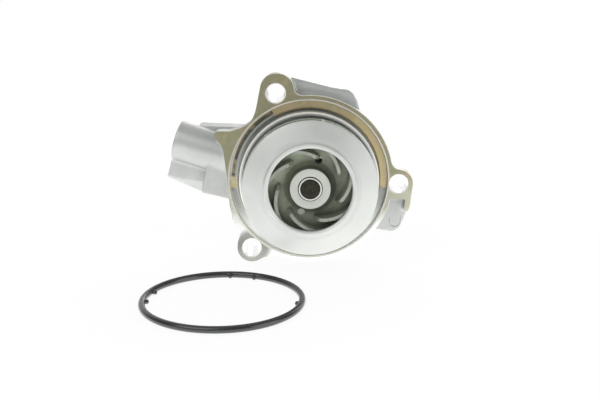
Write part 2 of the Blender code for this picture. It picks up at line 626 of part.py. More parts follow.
pulley = plate("belt_pulley", [tooth_outline()], PULLEY_FRONT, PULLEY_BACK, "pulley_steel")
cut(pulley, turned("pulley_cavity", [
    (0, PULLEY_FRONT - 3), (23.4, PULLEY_FRONT - 3), (23.4, 50.5), (21.5, 52.5), (13.0, 52.5),
    (12.0, 51.5), (SHAFT_R + GAP, 51.5), (SHAFT_R + GAP, PULLEY_BACK + 6), (0, PULLEY_BACK + 6)],
    steps=24, cutter=True))
cut(pulley, turned("pulley_dish", [
    (22.0, PULLEY_BACK - 1.0), (22.0, PULLEY_BACK + 3), (12.5, PULLEY_BACK + 3), (12.5, PULLEY_BACK - 1.0)],
    steps=24, cutter=True))

# --------------------------------------------------------- loose flange seal
ring_axis = empty("flange_seal_centre", (RING_AT[0], -FLANGE_TO_END + RING_AT[1], FLOOR_Z + RING_WIRE))
ring_profile = [
    (RING_R + RING_WIRE * math.cos(2 * math.pi * i / 6),
     RING_WIRE / math.cos(math.pi / 6) * math.sin(2 * math.pi * i / 6))
    for i in range(6)]
flange_seal = turned("flange_seal_ring", ring_profile, "rubber", 48, ring_axis)
for i, a in enumerate((88, 67.5, 182.5, 161, 276, 255, 351.6)):
    x, y = polar(RING_R - RING_WIRE, a)
    mesh = bpy.data.meshes.new("seal_nub")
    bm = bmesh.new()
    bmesh.ops.create_icosphere(bm, subdivisions=1, radius=1.05 * MM)
    bm.to_mesh(mesh)
    bm.free()
    nub = finish(bpy.data.objects.new("seal_nub_%d" % (i + 1), mesh), None, ring_axis, True, (x, y, 0))
    join(flange_seal, nub)

# Shading: smooth faces with sharp edges kept, on every mesh.
for obj in pump.objects:
    if obj.type == "MESH" and len(obj.data.polygons):
        obj.data.shade_smooth()
        obj.data.set_sharp_from_angle(angle=math.radians(35))
for obj in pump.objects:
    for m in obj.modifiers:
        if m.type == "SCREW":
            m.use_smooth_shade = True
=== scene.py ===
"""Looks of the switchable coolant pump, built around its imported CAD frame.

Depth d is measured from the flange's mounting face towards the pulley, in mm.
Local axes on the shaft: X is world X, Y is world -Z, Z is depth d.
"""

import math

import bmesh
import bpy
import numpy as np
from mathutils import Matrix, Vector


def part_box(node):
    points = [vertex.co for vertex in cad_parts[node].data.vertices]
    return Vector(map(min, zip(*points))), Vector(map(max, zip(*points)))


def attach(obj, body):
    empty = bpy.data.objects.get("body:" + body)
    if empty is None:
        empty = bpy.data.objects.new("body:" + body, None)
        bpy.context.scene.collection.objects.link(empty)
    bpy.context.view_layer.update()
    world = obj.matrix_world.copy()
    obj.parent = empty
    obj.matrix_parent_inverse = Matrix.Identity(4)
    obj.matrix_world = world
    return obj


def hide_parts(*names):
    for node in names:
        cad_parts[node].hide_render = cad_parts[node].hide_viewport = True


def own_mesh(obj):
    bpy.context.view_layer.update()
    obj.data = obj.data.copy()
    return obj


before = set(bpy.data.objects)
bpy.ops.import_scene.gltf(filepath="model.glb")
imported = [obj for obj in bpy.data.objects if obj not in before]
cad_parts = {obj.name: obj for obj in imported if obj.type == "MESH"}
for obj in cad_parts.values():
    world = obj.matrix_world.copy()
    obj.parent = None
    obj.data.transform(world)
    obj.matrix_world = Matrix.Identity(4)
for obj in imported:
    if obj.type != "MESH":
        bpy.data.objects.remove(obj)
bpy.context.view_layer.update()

MM = 0.001
scene = bpy.context.scene
link = scene.collection.objects.link

SHAFT_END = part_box("pump_shaft")[1].y
FACE = SHAFT_END - 0.058               # world Y of the mounting face
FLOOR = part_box("flange_seal_ring")[0].z
MAIN = Matrix(((1, 0, 0, 0), (0, 0, 1, FACE), (0, -1, 0, 0), (0, 0, 0, 1)))


# =================================================================== geometry
def put(name, mesh, angle=32.0):
    mesh.validate()
    o = bpy.data.objects.new(name, mesh)
    link(o)
    mesh.shade_smooth()
    mesh.set_sharp_from_angle(angle=math.radians(angle))
    return o


def from_bm(name, bm, frame_=MAIN, angle=32.0):
    """bm holds millimetres in a local frame."""
    bmesh.ops.recalc_face_normals(bm, faces=bm.faces)
    for v in bm.verts:
        v.co = frame_ @ (v.co * MM)
    me = bpy.data.meshes.new(name)
    bm.to_mesh(me)
    bm.free()
    return put(name, me, angle)


def frame_at(place, direction=None, base=MAIN):
    """A frame at a local place in mm whose Z runs along a local direction."""
    m = Matrix.Translation(Vector(place) * MM)
    if direction is not None:
        m = m @ Vector(direction).to_track_quat("Z", "Y").to_matrix().to_4x4()
    return base @ m


def polar(r, deg):
    a = math.radians(deg)
    return (r * math.cos(a), r * math.sin(a))


def on_axis(r, deg, d=0.0):
    x, z = polar(r, deg)
    return (x, -z, d)


def soft(points, radius, n=4):
    """Round the corners of a profile. A point is (r, d) or (r, d, own radius)."""
    shut = all(p[0] > 1e-6 for p in points)
    out = []
    count = len(points)
    for i, p in enumerate(points):
        rad = p[2] if len(p) > 2 else radius
        b = Vector(p[:2])
        if (not shut and i in (0, count - 1)) or rad <= 0:
            out.append(tuple(b))
            continue
        a, c = Vector(points[i - 1][:2]), Vector(points[(i + 1) % count][:2])
        u, w = (a - b), (c - b)
        lu, lw = u.length, w.length
        if lu < 1e-6 or lw < 1e-6:
            out.append(tuple(b))
            continue
        u, w = u / lu, w / lw
        cosang = max(-1.0, min(1.0, u.dot(w)))
        half = math.acos(cosang) / 2
        if half > math.radians(87):
            out.append(tuple(b))
            continue
        t = min(rad / math.tan(half), 0.46 * lu, 0.46 * lw)
        p0, p1 = b + u * t, b + w * t
        for k in range(n + 1):
            s = k / n
            q = p0 * (1 - s) ** 2 + b * 2 * s * (1 - s) + p1 * s ** 2
            out.append((max(q.x, 0.0), q.y))
    return out


def ring_bm(bm, profile, steps, warp=None):
    rings = []
    shut = all(r > 1e-6 for r, _ in profile)
    for r, d in profile:
        if r <= 1e-6:
            rings.append([bm.verts.new((0, 0, d))])
            continue
        row = []
        for k in range(steps):
            a = 2 * math.pi * k / steps
            co = Vector((r * math.cos(a), r * math.sin(a), d))
            if warp:
                co = warp(co, a)
            row.append(bm.verts.new(co))
        rings.append(row)
    pairs = list(zip(rings, rings[1:]))
    if shut:
        pairs.append((rings[-1], rings[0]))
    for a, b in pairs:
        for k in range(steps):
            j = (k + 1) % steps
            if len(a) == 1 and len(b) == 1:
                continue
            if len(a) == 1:
                bm.faces.new((a[0], b[j], b[k]))
            elif len(b) == 1:
                bm.faces.new((a[k], a[j], b[0]))
            else:
                bm.faces.new((a[k], a[j], b[j], b[k]))


def lathe(name, profile, at=MAIN, steps=144, fillet=0.0, warp=None, angle=32.0):
    bm = bmesh.new()
    pts = soft(profile, fillet) if fillet else [p[:2] for p in profile]
    ring_bm(bm, pts, steps, warp)
    return from_bm(name, bm, at, angle)


def tube(name, r_in, r_out, d0, d1, at=MAIN, steps=96, fillet=0.15):
    return lathe(name, [(r_out, d0), (r_out, d1), (r_in, d1), (r_in, d0)], at, steps, fillet)


def rod(name, r, d0, d1, at=MAIN, steps=64, fillet=0.15):
    return lathe(name, [(0, d0), (r, d0), (r, d1), (0, d1)], at, steps, fillet)


def slab(name, outline, d0, d1, at=MAIN, angle=32.0, bevel=0.0):
    """A plate from an (x, z) outline between two depths, with bevelled rims."""
    bm = bmesh.new()
    low = [bm.verts.new((x, -z, d0)) for x, z in outline]
    f = bm.faces.new(low)
    made = bmesh.ops.extrude_face_region(bm, geom=[f])
    for v in made["geom"]:
        if isinstance(v, bmesh.types.BMVert):
            v.co.z = d1
    if bevel:
        rim = [e for e in bm.edges if abs(e.verts[0].co.z - e.verts[1].co.z) < 1e-6]
        bmesh.ops.bevel(bm, geom=rim, offset=bevel, segments=2, profile=0.5, affect="EDGES")
    return from_bm(name, bm, at, angle)


def loft(name, sections, at=MAIN):
    """Outlines of equal count at rising depths, joined into one solid."""
    bm = bmesh.new()
    rows = [[bm.verts.new((x, -z, d)) for x, z in pts] for pts, d in sections]
    m = len(rows[0])
    for a, b in zip(rows, rows[1:]):
        for k in range(m):
            j = (k + 1) % m
            bm.faces.new((a[k], a[j], b[j], b[k]))
    bm.faces.new(rows[0])
    bm.faces.new(rows[-1])
    return from_bm(name, bm, at)


def wire(name, path, r, around=12, at=MAIN, shut=False):
    """A round wire swept along a path of local points in mm."""
    bm = bmesh.new()
    rows = []
    n = len(path)
    pts = [Vector(p) for p in path]
    up = None
    for i, p in enumerate(pts):
        if shut:
            t = (pts[(i + 1) % n] - pts[i - 1]).normalized()
        else:
            t = (pts[min(i + 1, n - 1)] - pts[max(i - 1, 0)]).normalized()
        if up is None:
            up = t.orthogonal().normalized()
        up = (up - t * up.dot(t)).normalized()
        side = t.cross(up)
        rows.append([bm.verts.new(p + (up * math.cos(a) + side * math.sin(a)) * r)
                     for a in (2 * math.pi * k / around for k in range(around))])
    last = n if shut else n - 1
    for i in range(last):
        a, b = rows[i], rows[(i + 1) % n]
        for k in range(around):
            j = (k + 1) % around
            bm.faces.new((a[k], a[j], b[j], b[k]))
    if not shut:
        bm.faces.new(rows[0])
        bm.faces.new(rows[-1])
    return from_bm(name, bm, at, 50)


def coil(name, r, dia, d0, d1, turns, at=MAIN, per_turn=44, around=12):
    n = int(turns * per_turn)
    h0, h1 = d0 + dia / 2, d1 - dia / 2
    e, flat = 1.0 / turns, dia * 1.15
    path = []
    for i in range(n + 1):
        t = i / n
        a = 2 * math.pi * turns * t
        if t < e:
            h = h0 + flat * t / e
        elif t > 1 - e:
            h = h1 - flat * (1 - t) / e
        else:
            h = h0 + flat + (h1 - h0 - 2 * flat) * (t - e) / (1 - 2 * e)
        path.append((r * math.cos(a), r * math.sin(a), h))
    return wire(name, path, dia / 2, around, at)


def ball(name, r, place, at=MAIN, segs=32):
    bm = bmesh.new()
    bmesh.ops.create_uvsphere(bm, u_segments=segs, v_segments=segs // 2, radius=r)
    for v in bm.verts:
        v.co += Vector(place)
    return from_bm(name, bm, at, 60)


def arc(cx, cz, r, a0, a1, n):
    return [(cx + r * math.cos(math.radians(a0 + (a1 - a0) * i / n)),
             cz + r * math.sin(math.radians(a0 + (a1 - a0) * i / n))) for i in range(n + 1)]


def curve(points, n):
    out = []
    p = [points[0]] + list(points) + [points[-1]]
    for i in range(1, len(p) - 2):
        for k in range(n):
            t = k / n
            out.append(tuple(
                0.5 * (2 * p[i][j] + (p[i + 1][j] - p[i - 1][j]) * t
                       + (2 * p[i - 1][j] - 5 * p[i][j] + 4 * p[i + 1][j] - p[i + 2][j]) * t * t
                       + (3 * p[i][j] - p[i - 1][j] - 3 * p[i + 1][j] + p[i + 2][j]) * t ** 3)
                for j in (0, 1)))
    out.append(tuple(points[-1]))
    return out


def blunt(points, r, n=5):
    """Round every corner of a shut (x, z) outline."""
    out = []
    count = len(points)
    for i in range(count):
        a, b, c = (Vector(points[i - 1]), Vector(points[i]), Vector(points[(i + 1) % count]))
        u, w = a - b, c - b
        lu, lw = u.length, w.length
        u, w = u / lu, w / lw
        half = math.acos(max(-1, min(1, u.dot(w)))) / 2
        if half > math.radians(88):
            out.append(tuple(b))
            continue
        t = min(r / math.tan(half), 0.46 * lu, 0.46 * lw)
        for k in range(n + 1):
            s = k / n
            out.append(tuple((b + u * t) * (1 - s) ** 2 + b * 2 * s * (1 - s) + (b + w * t) * s ** 2))
    return out


def bake(o, angle=32.0):
    """Apply an object's modifiers."""
    bpy.context.view_layer.update()
    dg = bpy.context.evaluated_depsgraph_get()
    me = bpy.data.meshes.new_from_object(o.evaluated_get(dg))
    o.modifiers.clear()
    old = o.data
    o.data = me
    bpy.data.meshes.remove(old)
    me.shade_smooth()
    me.set_sharp_from_angle(angle=math.radians(angle))
    return o


def merge(name, parts):
    """Several meshes as one object, without a union."""
    bm = bmesh.new()
    for p in parts:
        bm.from_mesh(p.data)
        bpy.data.objects.remove(p, do_unlink=True)
    me = bpy.data.meshes.new(name)
    bm.to_mesh(me)
    bm.free()
    return put(name, me)


def combine(o, cutters, operation="DIFFERENCE", angle=32.0):
    for c in cutters:
        m = o.modifiers.new(c.name, "BOOLEAN")
        m.operation = operation
        m.object = c
        m.solver = "MANIFOLD"
    bake(o, angle)
    for c in cutters:
        bpy.data.objects.remove(c, do_unlink=True)
    return o


def voxel(o, size, smooth=0, factor=0.5):
    m = o.modifiers.new("voxels", "REMESH")
    m.mode = "VOXEL"
    m.voxel_size = size * MM
    if smooth:
        s = o.modifiers.new("soften", "SMOOTH")
        s.factor = factor
        s.iterations = smooth
    return bake(o)


# ================================================================== materials
class Nodes:
    """A short way to write shader node graphs."""

    def __init__(self, name):
        self.m = bpy.data.materials.new(name)
        self.m.use_nodes = True
        self.t = self.m.node_tree
        self.t.nodes.clear()
        self.out = self.t.nodes.new("ShaderNodeOutputMaterial")
        self.b = self.t.nodes.new("ShaderNodeBsdfPrincipled")
        self.t.links.new(self.b.outputs[0], self.out.inputs[0])
        self.co = self.t.nodes.new("ShaderNodeTexCoord").outputs["Object"]

    def set(self, socket, value):
        s = self.b.inputs[socket] if isinstance(socket, str) else socket
        if isinstance(value, bpy.types.NodeSocket):
            self.t.links.new(value, s)
        elif isinstance(value, (tuple, list)) and len(value) == 3 and s.type == "RGBA":
            s.default_value = (*value, 1.0)
        else:
            s.default_value = value

    def node(self, kind, out=0, props=None, **inputs):
        n = self.t.nodes.new(kind)
        for k, v in (props or {}).items():
            setattr(n, k, v)
        for k, v in inputs.items():
            self.set(n.inputs[int(k[1:])] if k[0] == "i" and k[1:].isdigit() else n.inputs[k.replace("_", " ")], v)
        return n.outputs[out]

    def math(self, op, a, b=0.0, c=0.0, clamp=False):
        return self.node("ShaderNodeMath", props={"operation": op, "use_clamp": clamp}, i0=a, i1=b, i2=c)

    def noise(self, scale, detail=4.0, rough=0.55, vector=None, distortion=0.0, out=0):
        return self.node("ShaderNodeTexNoise", out, Vector=vector or self.co, Scale=scale, Detail=detail,
                         Roughness=rough, Distortion=distortion)

    def ramp(self, value, stops, interp="LINEAR"):
        n = self.t.nodes.new("ShaderNodeValToRGB")
        n.color_ramp.interpolation = interp
        e = n.color_ramp.elements
        while len(e) < len(stops):
            e.new(0.5)
        for el, (pos, col) in zip(e, stops):
            el.position = pos
            el.color = (*col, 1.0) if isinstance(col, (tuple, list)) else (col, col, col, 1.0)
        self.t.links.new(value, n.inputs[0])
        return n.outputs[0]

    def span(self, value, a, b, lo=0.0, hi=1.0, smooth=False):
        """Map a..b to lo..hi, clamped."""
        n = self.t.nodes.new("ShaderNodeMapRange")
        n.interpolation_type = "SMOOTHSTEP" if smooth else "LINEAR"
        for k, v in (("From Min", a), ("From Max", b), ("To Min", lo), ("To Max", hi)):
            n.inputs[k].default_value = v
        self.t.links.new(value, n.inputs["Value"])
        return n.outputs[0]

    def mix(self, fac, a, b, blend="MIX"):
        n = self.t.nodes.new("ShaderNodeMix")
        n.data_type = "RGBA"
        n.blend_type = blend
        n.clamp_factor = True
        self.set(n.inputs[0], fac)
        self.set(n.inputs[6], a)
        self.set(n.inputs[7], b)
        return n.outputs[2]

    def xyz(self):
        n = self.t.nodes.new("ShaderNodeSeparateXYZ")
        self.t.links.new(self.co, n.inputs[0])
        return n.outputs[0], n.outputs[1], n.outputs[2]

    def radius(self):
        """Distance from the shaft axis, in metres."""
        x, _, z = self.xyz()
        return self.math("SQRT", self.math("ADD", self.math("MULTIPLY", x, x), self.math("MULTIPLY", z, z)))

    def edge(self, width=0.4, samples=4):
        """1 on edges, 0 on flat ground, from the bevelled normal."""
        bev = self.node("ShaderNodeBevel", props={"samples": samples}, Radius=width * MM)
        geo = self.t.nodes.new("ShaderNodeNewGeometry").outputs["Normal"]
        dot = self.node("ShaderNodeVectorMath", 1, {"operation": "DOT_PRODUCT"}, i0=bev, i1=geo)
        return self.span(dot, 0.995, 0.90)

    def cavity(self, dist=4.0, samples=6):
        """1 in open ground, 0 in deep corners; the materials use it to paint shade into corners."""
        return self.node("ShaderNodeAmbientOcclusion", 1, {"samples": samples, "only_local": False},
                         Distance=dist * MM)

    def bump(self, height, strength=0.3, dist=0.1, normal=None):
        n = self.t.nodes.new("ShaderNodeBump")
        n.inputs["Strength"].default_value = strength
        n.inputs["Distance"].default_value = dist * MM
        self.t.links.new(height, n.inputs["Height"])
        if normal is not None:
            self.t.links.new(normal, n.inputs["Normal"])
        return n.outputs[0]

    def rings(self, pitch):
        """Lathe marks: fine circles about the shaft axis, pitch in mm."""
        r = self.radius()
        wob = self.math("MULTIPLY", self.noise(240.0, 2.0), 0.00004)
        v = self.math("MULTIPLY", self.math("ADD", r, wob), 2 * math.pi / (pitch * MM))
        return self.math("ADD", self.math("MULTIPLY", self.math("SINE", v), 0.5), 0.5)

    def streaks(self):
        """Broad turned bands: noise that varies with radius only."""
        r = self.radius()
        vec = self.node("ShaderNodeCombineXYZ", i0=self.math("MULTIPLY", r, 1.0), i1=0.0, i2=0.0)
        return self.node("ShaderNodeTexNoise", 0, {"noise_dimensions": "3D"}, Vector=vec, Scale=1400.0,
                         Detail=6.0, Roughness=0.7)


mats = {}


def make_cast(name="cast_skin"):
    n = Nodes(name)
    x, y, z = n.xyz()
    big = n.noise(55.0, 3.0)
    grain = n.noise(2600.0, 3.0, 0.65)
    fine = n.noise(7000.0, 2.0, 0.6)
    mid = n.noise(420.0, 4.0, 0.6)
    col = n.ramp(big, [(0.30, (0.455, 0.475, 0.455)), (0.70, (0.56, 0.575, 0.555))])
    col = n.mix(n.span(mid, 0.35, 0.7, 0.0, 0.28), col, (0.40, 0.415, 0.40))
    col = n.mix(n.span(grain, 0.35, 0.65, 0.0, 0.22), col, (0.70, 0.71, 0.69))
    # painted shade: deep corners of the casting are darkened
    cav = n.cavity(5.0)
    col = n.mix(n.span(cav, 0.75, 0.15, 0.0, 0.55), col, (0.20, 0.205, 0.19))
    # edges painted lighter in patches: partly wear, partly painted highlight
    edge = n.edge(0.5)
    col = n.mix(n.math("MULTIPLY", edge, n.span(mid, 0.35, 0.6, 0.25, 0.75)), col, (0.80, 0.81, 0.78))
    n.set("Base Color", col)
    # painted highlight: the cast wall just behind the milled face is painted near-white, a bright edge line
    edge_highlight_band = n.span(y, FACE + 0.0001, FACE + 0.0010, 0.9, 0.0)
    col = n.mix(edge_highlight_band, col, (0.88, 0.86, 0.80))
    n.set("Base Color", col)
    n.set("Metallic", 0.55)
    n.set("Roughness", n.span(grain, 0.3, 0.7, 0.36, 0.50))
    h = n.math("ADD", n.math("MULTIPLY", grain, 0.7), n.math("MULTIPLY", fine, 0.3))
    n.set("Normal", n.bump(mid, 0.25, 0.25, n.bump(h, 0.45, 0.06)))
    return n.m


def make_face(name="machined_face"):
    """Face-milled aluminium, gold at the top and grey below: a painted reflection, set by height."""
    n = Nodes(name)
    x, y, z = n.xyz()
    r = n.radius()
    big = n.noise(38.0, 3.0, 0.5, distortion=1.2)
    hue = n.noise(95.0, 3.0, 0.5, distortion=2.0)
    patch = n.noise(320.0, 4.0, 0.6, distortion=0.6)
    shade = n.noise(52.0, 2.0, 0.5)
    gold = n.ramp(hue, [(0.30, (0.34, 0.30, 0.17)), (0.44, (0.27, 0.255, 0.14)),
                        (0.56, (0.26, 0.265, 0.14)), (0.70, (0.37, 0.275, 0.165))])
    band = n.ramp(hue, [(0.30, (0.60, 0.52, 0.32)), (0.44, (0.54, 0.45, 0.21)),
                        (0.56, (0.60, 0.49, 0.27)), (0.70, (0.64, 0.44, 0.28))])
    olive = n.ramp(hue, [(0.30, (0.42, 0.42, 0.31)), (0.70, (0.50, 0.49, 0.38))])
    pale = n.ramp(big, [(0.3, (0.88, 0.90, 0.88)), (0.7, (0.97, 0.98, 0.96))])
    # painted reflection: the lower recess floor goes from dark grey to light grey towards the bottom
    step_low = n.mix(n.span(z, -0.009, -0.026, smooth=True), n.ramp(big, [(0.3, (0.27, 0.285, 0.265)), (0.7, (0.37, 0.385, 0.36))]),
                     n.ramp(big, [(0.3, (0.72, 0.74, 0.715)), (0.7, (0.90, 0.92, 0.895))]))
    # painted reflection: the face is gold at the top, olive lower down and pale at the bottom, set by height
    wave = n.math("ADD", z, n.math("MULTIPLY", n.math("SUBTRACT", n.noise(70.0, 3.0), 0.5), 0.012))
    outer = n.mix(n.span(wave, 0.005, -0.007, smooth=True), gold, olive)
    outer = n.mix(n.span(wave, -0.013, -0.025, smooth=True), outer, pale)
    # painted reflection: the recess floor is gold down to about 4.6 mm below the axis and grey further down
    side = n.math("ADD", z, n.math("MULTIPLY", n.math("SUBTRACT", n.noise(260.0, 3.0), 0.5), 0.002))
    inner = n.mix(n.span(side, -0.0050, -0.0042), step_low, band)
    # a brown-black band in noisy patches along the change from gold to grey
    dark_band = n.math("MULTIPLY", n.span(side, -0.0030, -0.0046), n.span(side, -0.0066, -0.0046))
    inner = n.mix(n.math("MULTIPLY", dark_band, n.span(patch, 0.42, 0.58)), inner, (0.12, 0.065, 0.04))
    # painted shade: the low ear is painted darker than the rim beside it
    ex, ez = n.math("SUBTRACT", x, -0.0289), n.math("SUBTRACT", z, -0.0349)
    ear = n.math("SQRT", n.math("ADD", n.math("MULTIPLY", ex, ex), n.math("MULTIPLY", ez, ez)))
    outer = n.mix(n.span(ear, 0.0110, 0.0072, 0.0, 1.0, True), outer, (0.29, 0.30, 0.28))
    # painted shade: the milled pocket at the upper left is painted brown-black with straw patches, for shade and dark
    # reflection in it
    blot = n.noise(210.0, 4.0, 0.6, distortion=0.8)
    pocket_shade = n.ramp(blot, [(0.36, (0.040, 0.036, 0.024)), (0.50, (0.12, 0.10, 0.060)), (0.62, (0.42, 0.35, 0.20))])
    inner = n.mix(n.span(y, FACE + 0.0040, FACE + 0.0044), inner, pocket_shade)
    turn = n.math("ARCTAN2", z, x)
    grey = n.math("MULTIPLY", n.math("MULTIPLY", n.span(turn, 2.03, 2.08), n.span(turn, 3.12, 3.08)),
                  n.span(r, 0.03725, 0.03715))
    inner = n.mix(grey, inner, (0.36, 0.38, 0.36))
    col = n.mix(n.span(r, 0.03955, 0.0398), inner, outer)
    col = n.mix(n.span(shade, 0.40, 0.66, 0.0, 0.30), col, n.mix(0.55, col, (0.10, 0.10, 0.08)))
    lines = n.rings(0.16)
    streak = n.streaks()
    col = n.mix(n.span(streak, 0.35, 0.65, 0.0, 0.25), col, (0.55, 0.55, 0.50))
    speck = n.noise(1500.0, 3.0, 0.6)
    col = n.mix(n.span(speck, 0.60, 0.72, 0.0, 0.35), col, (0.16, 0.15, 0.11))
    # painted highlight: where the bevelled normal leans up and to the right, the face is painted near-white
    bev = n.node("ShaderNodeBevel", props={"samples": 6}, Radius=0.0009)
    highlight_lean = n.node("ShaderNodeVectorMath", 1, {"operation": "DOT_PRODUCT"}, i0=bev, i1=(0.75, 0.0, 0.66))
    col = n.mix(n.span(highlight_lean, 0.10, 0.38, 0.0, 0.95), col, (0.93, 0.91, 0.84))
    n.set("Base Color", col)
    low = n.span(wave, -0.013, -0.028)
    n.set("Metallic", n.math("ADD", 0.72, n.math("MULTIPLY", low, 0.12)))
    n.set("Roughness", n.math("SUBTRACT", n.span(big, 0.3, 0.7, 0.34, 0.46), n.math("MULTIPLY", low, 0.10)))
    n.set("Normal", n.bump(lines, 0.05, 0.02, n.bump(speck, 0.12, 0.03)))
    return n.m


def make_turned(name, base, light, rough=(0.24, 0.36), metal=1.0, pitch=0.12, strength=0.05, edge_highlight_and_wear=0.5,
                dirt=0.35, dark=(0.16, 0.16, 0.15)):
    """Bright turned metal with lathe marks about the shaft axis."""
    n = Nodes(name)
    streak = n.streaks()
    big = n.noise(60.0, 3.0, 0.5, distortion=0.8)
    col = n.mix(n.span(streak, 0.35, 0.65), base, light)
    col = n.mix(n.span(big, 0.35, 0.7, 0.0, 0.3), col, tuple(0.8 * c for c in base))
    speck = n.noise(1900.0, 3.0, 0.6)
    col = n.mix(n.span(speck, 0.64, 0.74, 0.0, 0.5 * dirt), col, dark)
    # painted shade: corners are darkened towards dark, by the amount dirt, which also sets the real specks
    cav = n.cavity(2.5)
    col = n.mix(n.span(cav, 0.7, 0.1, 0.0, dirt), col, dark)
    # edges painted lighter: partly wear, partly painted highlight
    if edge_highlight_and_wear:
        col = n.mix(n.math("MULTIPLY", n.edge(0.3), edge_highlight_and_wear), col, (0.93, 0.93, 0.91))
    n.set("Base Color", col)
    n.set("Metallic", metal)
    n.set("Roughness", n.span(streak, 0.3, 0.7, *rough))
    n.set("Normal", n.bump(n.rings(pitch), strength, 0.02, n.bump(speck, 0.06, 0.02)))
    return n.m


def make_metal(name, base, light, rough=(0.25, 0.4), metal=1.0, scale=300.0, bump=0.08, edge_highlight_and_wear=0.4, dark=None,
               dirt=0.4):
    """Plain worked metal: drawn, ground or pressed, with scuffs and small stains."""
    n = Nodes(name)
    big = n.noise(90.0, 3.0, 0.5, distortion=0.6)
    scuff = n.node("ShaderNodeTexNoise", Vector=n.node("ShaderNodeMapping", Vector=n.co, Scale=(1.0, 0.12, 1.0)),
                   Scale=scale * 6, Detail=5.0, Roughness=0.65)
    speck = n.noise(scale * 5, 3.0, 0.6)
    col = n.mix(n.span(big, 0.35, 0.65), base, light)
    col = n.mix(n.span(scuff, 0.52, 0.70, 0.0, 0.35), col, tuple(min(1.0, c * 1.3) for c in light))
    dark = dark or tuple(0.35 * c for c in base)
    col = n.mix(n.span(speck, 0.62, 0.74, 0.0, dirt), col, dark)
    # painted shade: corners are darkened towards dark
    col = n.mix(n.span(n.cavity(2.0), 0.7, 0.1, 0.0, 0.6), col, dark)
    # edges painted lighter: partly wear, partly painted highlight
    if edge_highlight_and_wear:
        col = n.mix(n.math("MULTIPLY", n.edge(0.2), edge_highlight_and_wear), col, tuple(min(1.0, c * 1.6) for c in light))
    n.set("Base Color", col)
    n.set("Metallic", metal)
    n.set("Roughness", n.span(scuff, 0.3, 0.7, *rough))
    n.set("Normal", n.bump(scuff, bump, 0.04, n.bump(speck, bump, 0.03)))
    return n.m


def make_impeller(name="impeller_skin"):
    """Dark olive-grey cast impeller whose blade edges are painted lighter: partly wear, partly painted highlight."""
    n = Nodes(name)
    r = n.radius()
    x, y, z = n.xyz()
    big = n.noise(70.0, 3.0, 0.5)
    grain = n.noise(2400.0, 3.0, 0.6)
    mid = n.noise(500.0, 4.0, 0.6)
    col = n.ramp(big, [(0.3, (0.120, 0.130, 0.095)), (0.7, (0.175, 0.190, 0.145))])
    # painted shade and light: the dish round the hub is darker, its outer part lighter, more so at the upper left
    lit = n.math("ADD", n.span(r, 0.0105, 0.0165, 0.0, 1.0, True),
                 n.math("MULTIPLY", n.math("SUBTRACT", z, x), 16.0))
    col = n.mix(n.span(lit, 0.0, 1.3, 0.0, 0.95), col, (0.46, 0.50, 0.40))
    col = n.mix(n.span(mid, 0.4, 0.7, 0.0, 0.3), col, (0.10, 0.10, 0.08))
    # painted shade: deep corners are darkened to near-black
    col = n.mix(n.span(n.cavity(3.0), 0.75, 0.15, 0.0, 0.85), col, (0.022, 0.023, 0.018))
    # edges painted lighter: partly wear, partly painted highlight
    col = n.mix(n.math("MULTIPLY", n.edge(0.35), 0.7), col, (0.42, 0.43, 0.39))
    n.set("Base Color", col)
    n.set("Metallic", 0.45)
    n.set("Roughness", n.span(grain, 0.3, 0.7, 0.42, 0.6))
    n.set("Normal", n.bump(grain, 0.3, 0.05, n.bump(mid, 0.15, 0.15)))
    return n.m


# painted light: a lighter copy of the impeller skin, for blade faces that look to the front
def make_blade(name="blade_edge"):
    n = Nodes(name)
    mid = n.noise(420.0, 4.0, 0.6)
    grain = n.noise(2600.0, 3.0, 0.6)
    col = n.ramp(mid, [(0.3, (0.26, 0.28, 0.235)), (0.7, (0.36, 0.38, 0.33))])
    # painted shade: corners are darkened
    col = n.mix(n.span(n.cavity(3.0), 0.6, 0.1, 0.0, 0.5), col, (0.12, 0.12, 0.10))
    n.set("Base Color", col)
    n.set("Metallic", 0.5)
    n.set("Roughness", n.span(grain, 0.3, 0.7, 0.38, 0.52))
    n.set("Normal", n.bump(grain, 0.25, 0.04))
    return n.m


def make_shaft(name="shaft_steel"):
    """Ground steel whose nose face is tarnished brown-black."""
    n = Nodes(name)
    x, y, z = n.xyz()
    r = n.radius()
    streak = n.streaks()
    blot = n.noise(700.0, 4.0, 0.6, distortion=1.0)
    ground = n.mix(n.span(streak, 0.35, 0.65), (0.60, 0.60, 0.58), (0.74, 0.74, 0.72))
    tarnish = n.ramp(blot, [(0.30, (0.007, 0.0068, 0.003)), (0.50, (0.016, 0.0150, 0.007)), (0.68, (0.050, 0.042, 0.024))])
    tarnish = n.mix(n.span(r, 0.0016, 0.0003, 0.0, 0.5), tarnish, (0.10, 0.085, 0.07))
    nose = n.span(y, FACE - 0.0210, FACE - 0.0206, 1.0, 0.0)
    nose = n.math("MULTIPLY", nose, n.span(r, 0.00480, 0.00474))
    n.set("Base Color", n.mix(nose, ground, tarnish))
    n.set("Metallic", n.span(nose, 0.0, 1.0, 1.0, 0.55))
    n.set("Roughness", n.span(nose, 0.0, 1.0, 0.22, 0.42))
    n.set("Normal", n.bump(blot, 0.2, 0.05, n.bump(n.rings(0.1), 0.05, 0.02)))
    return n.m


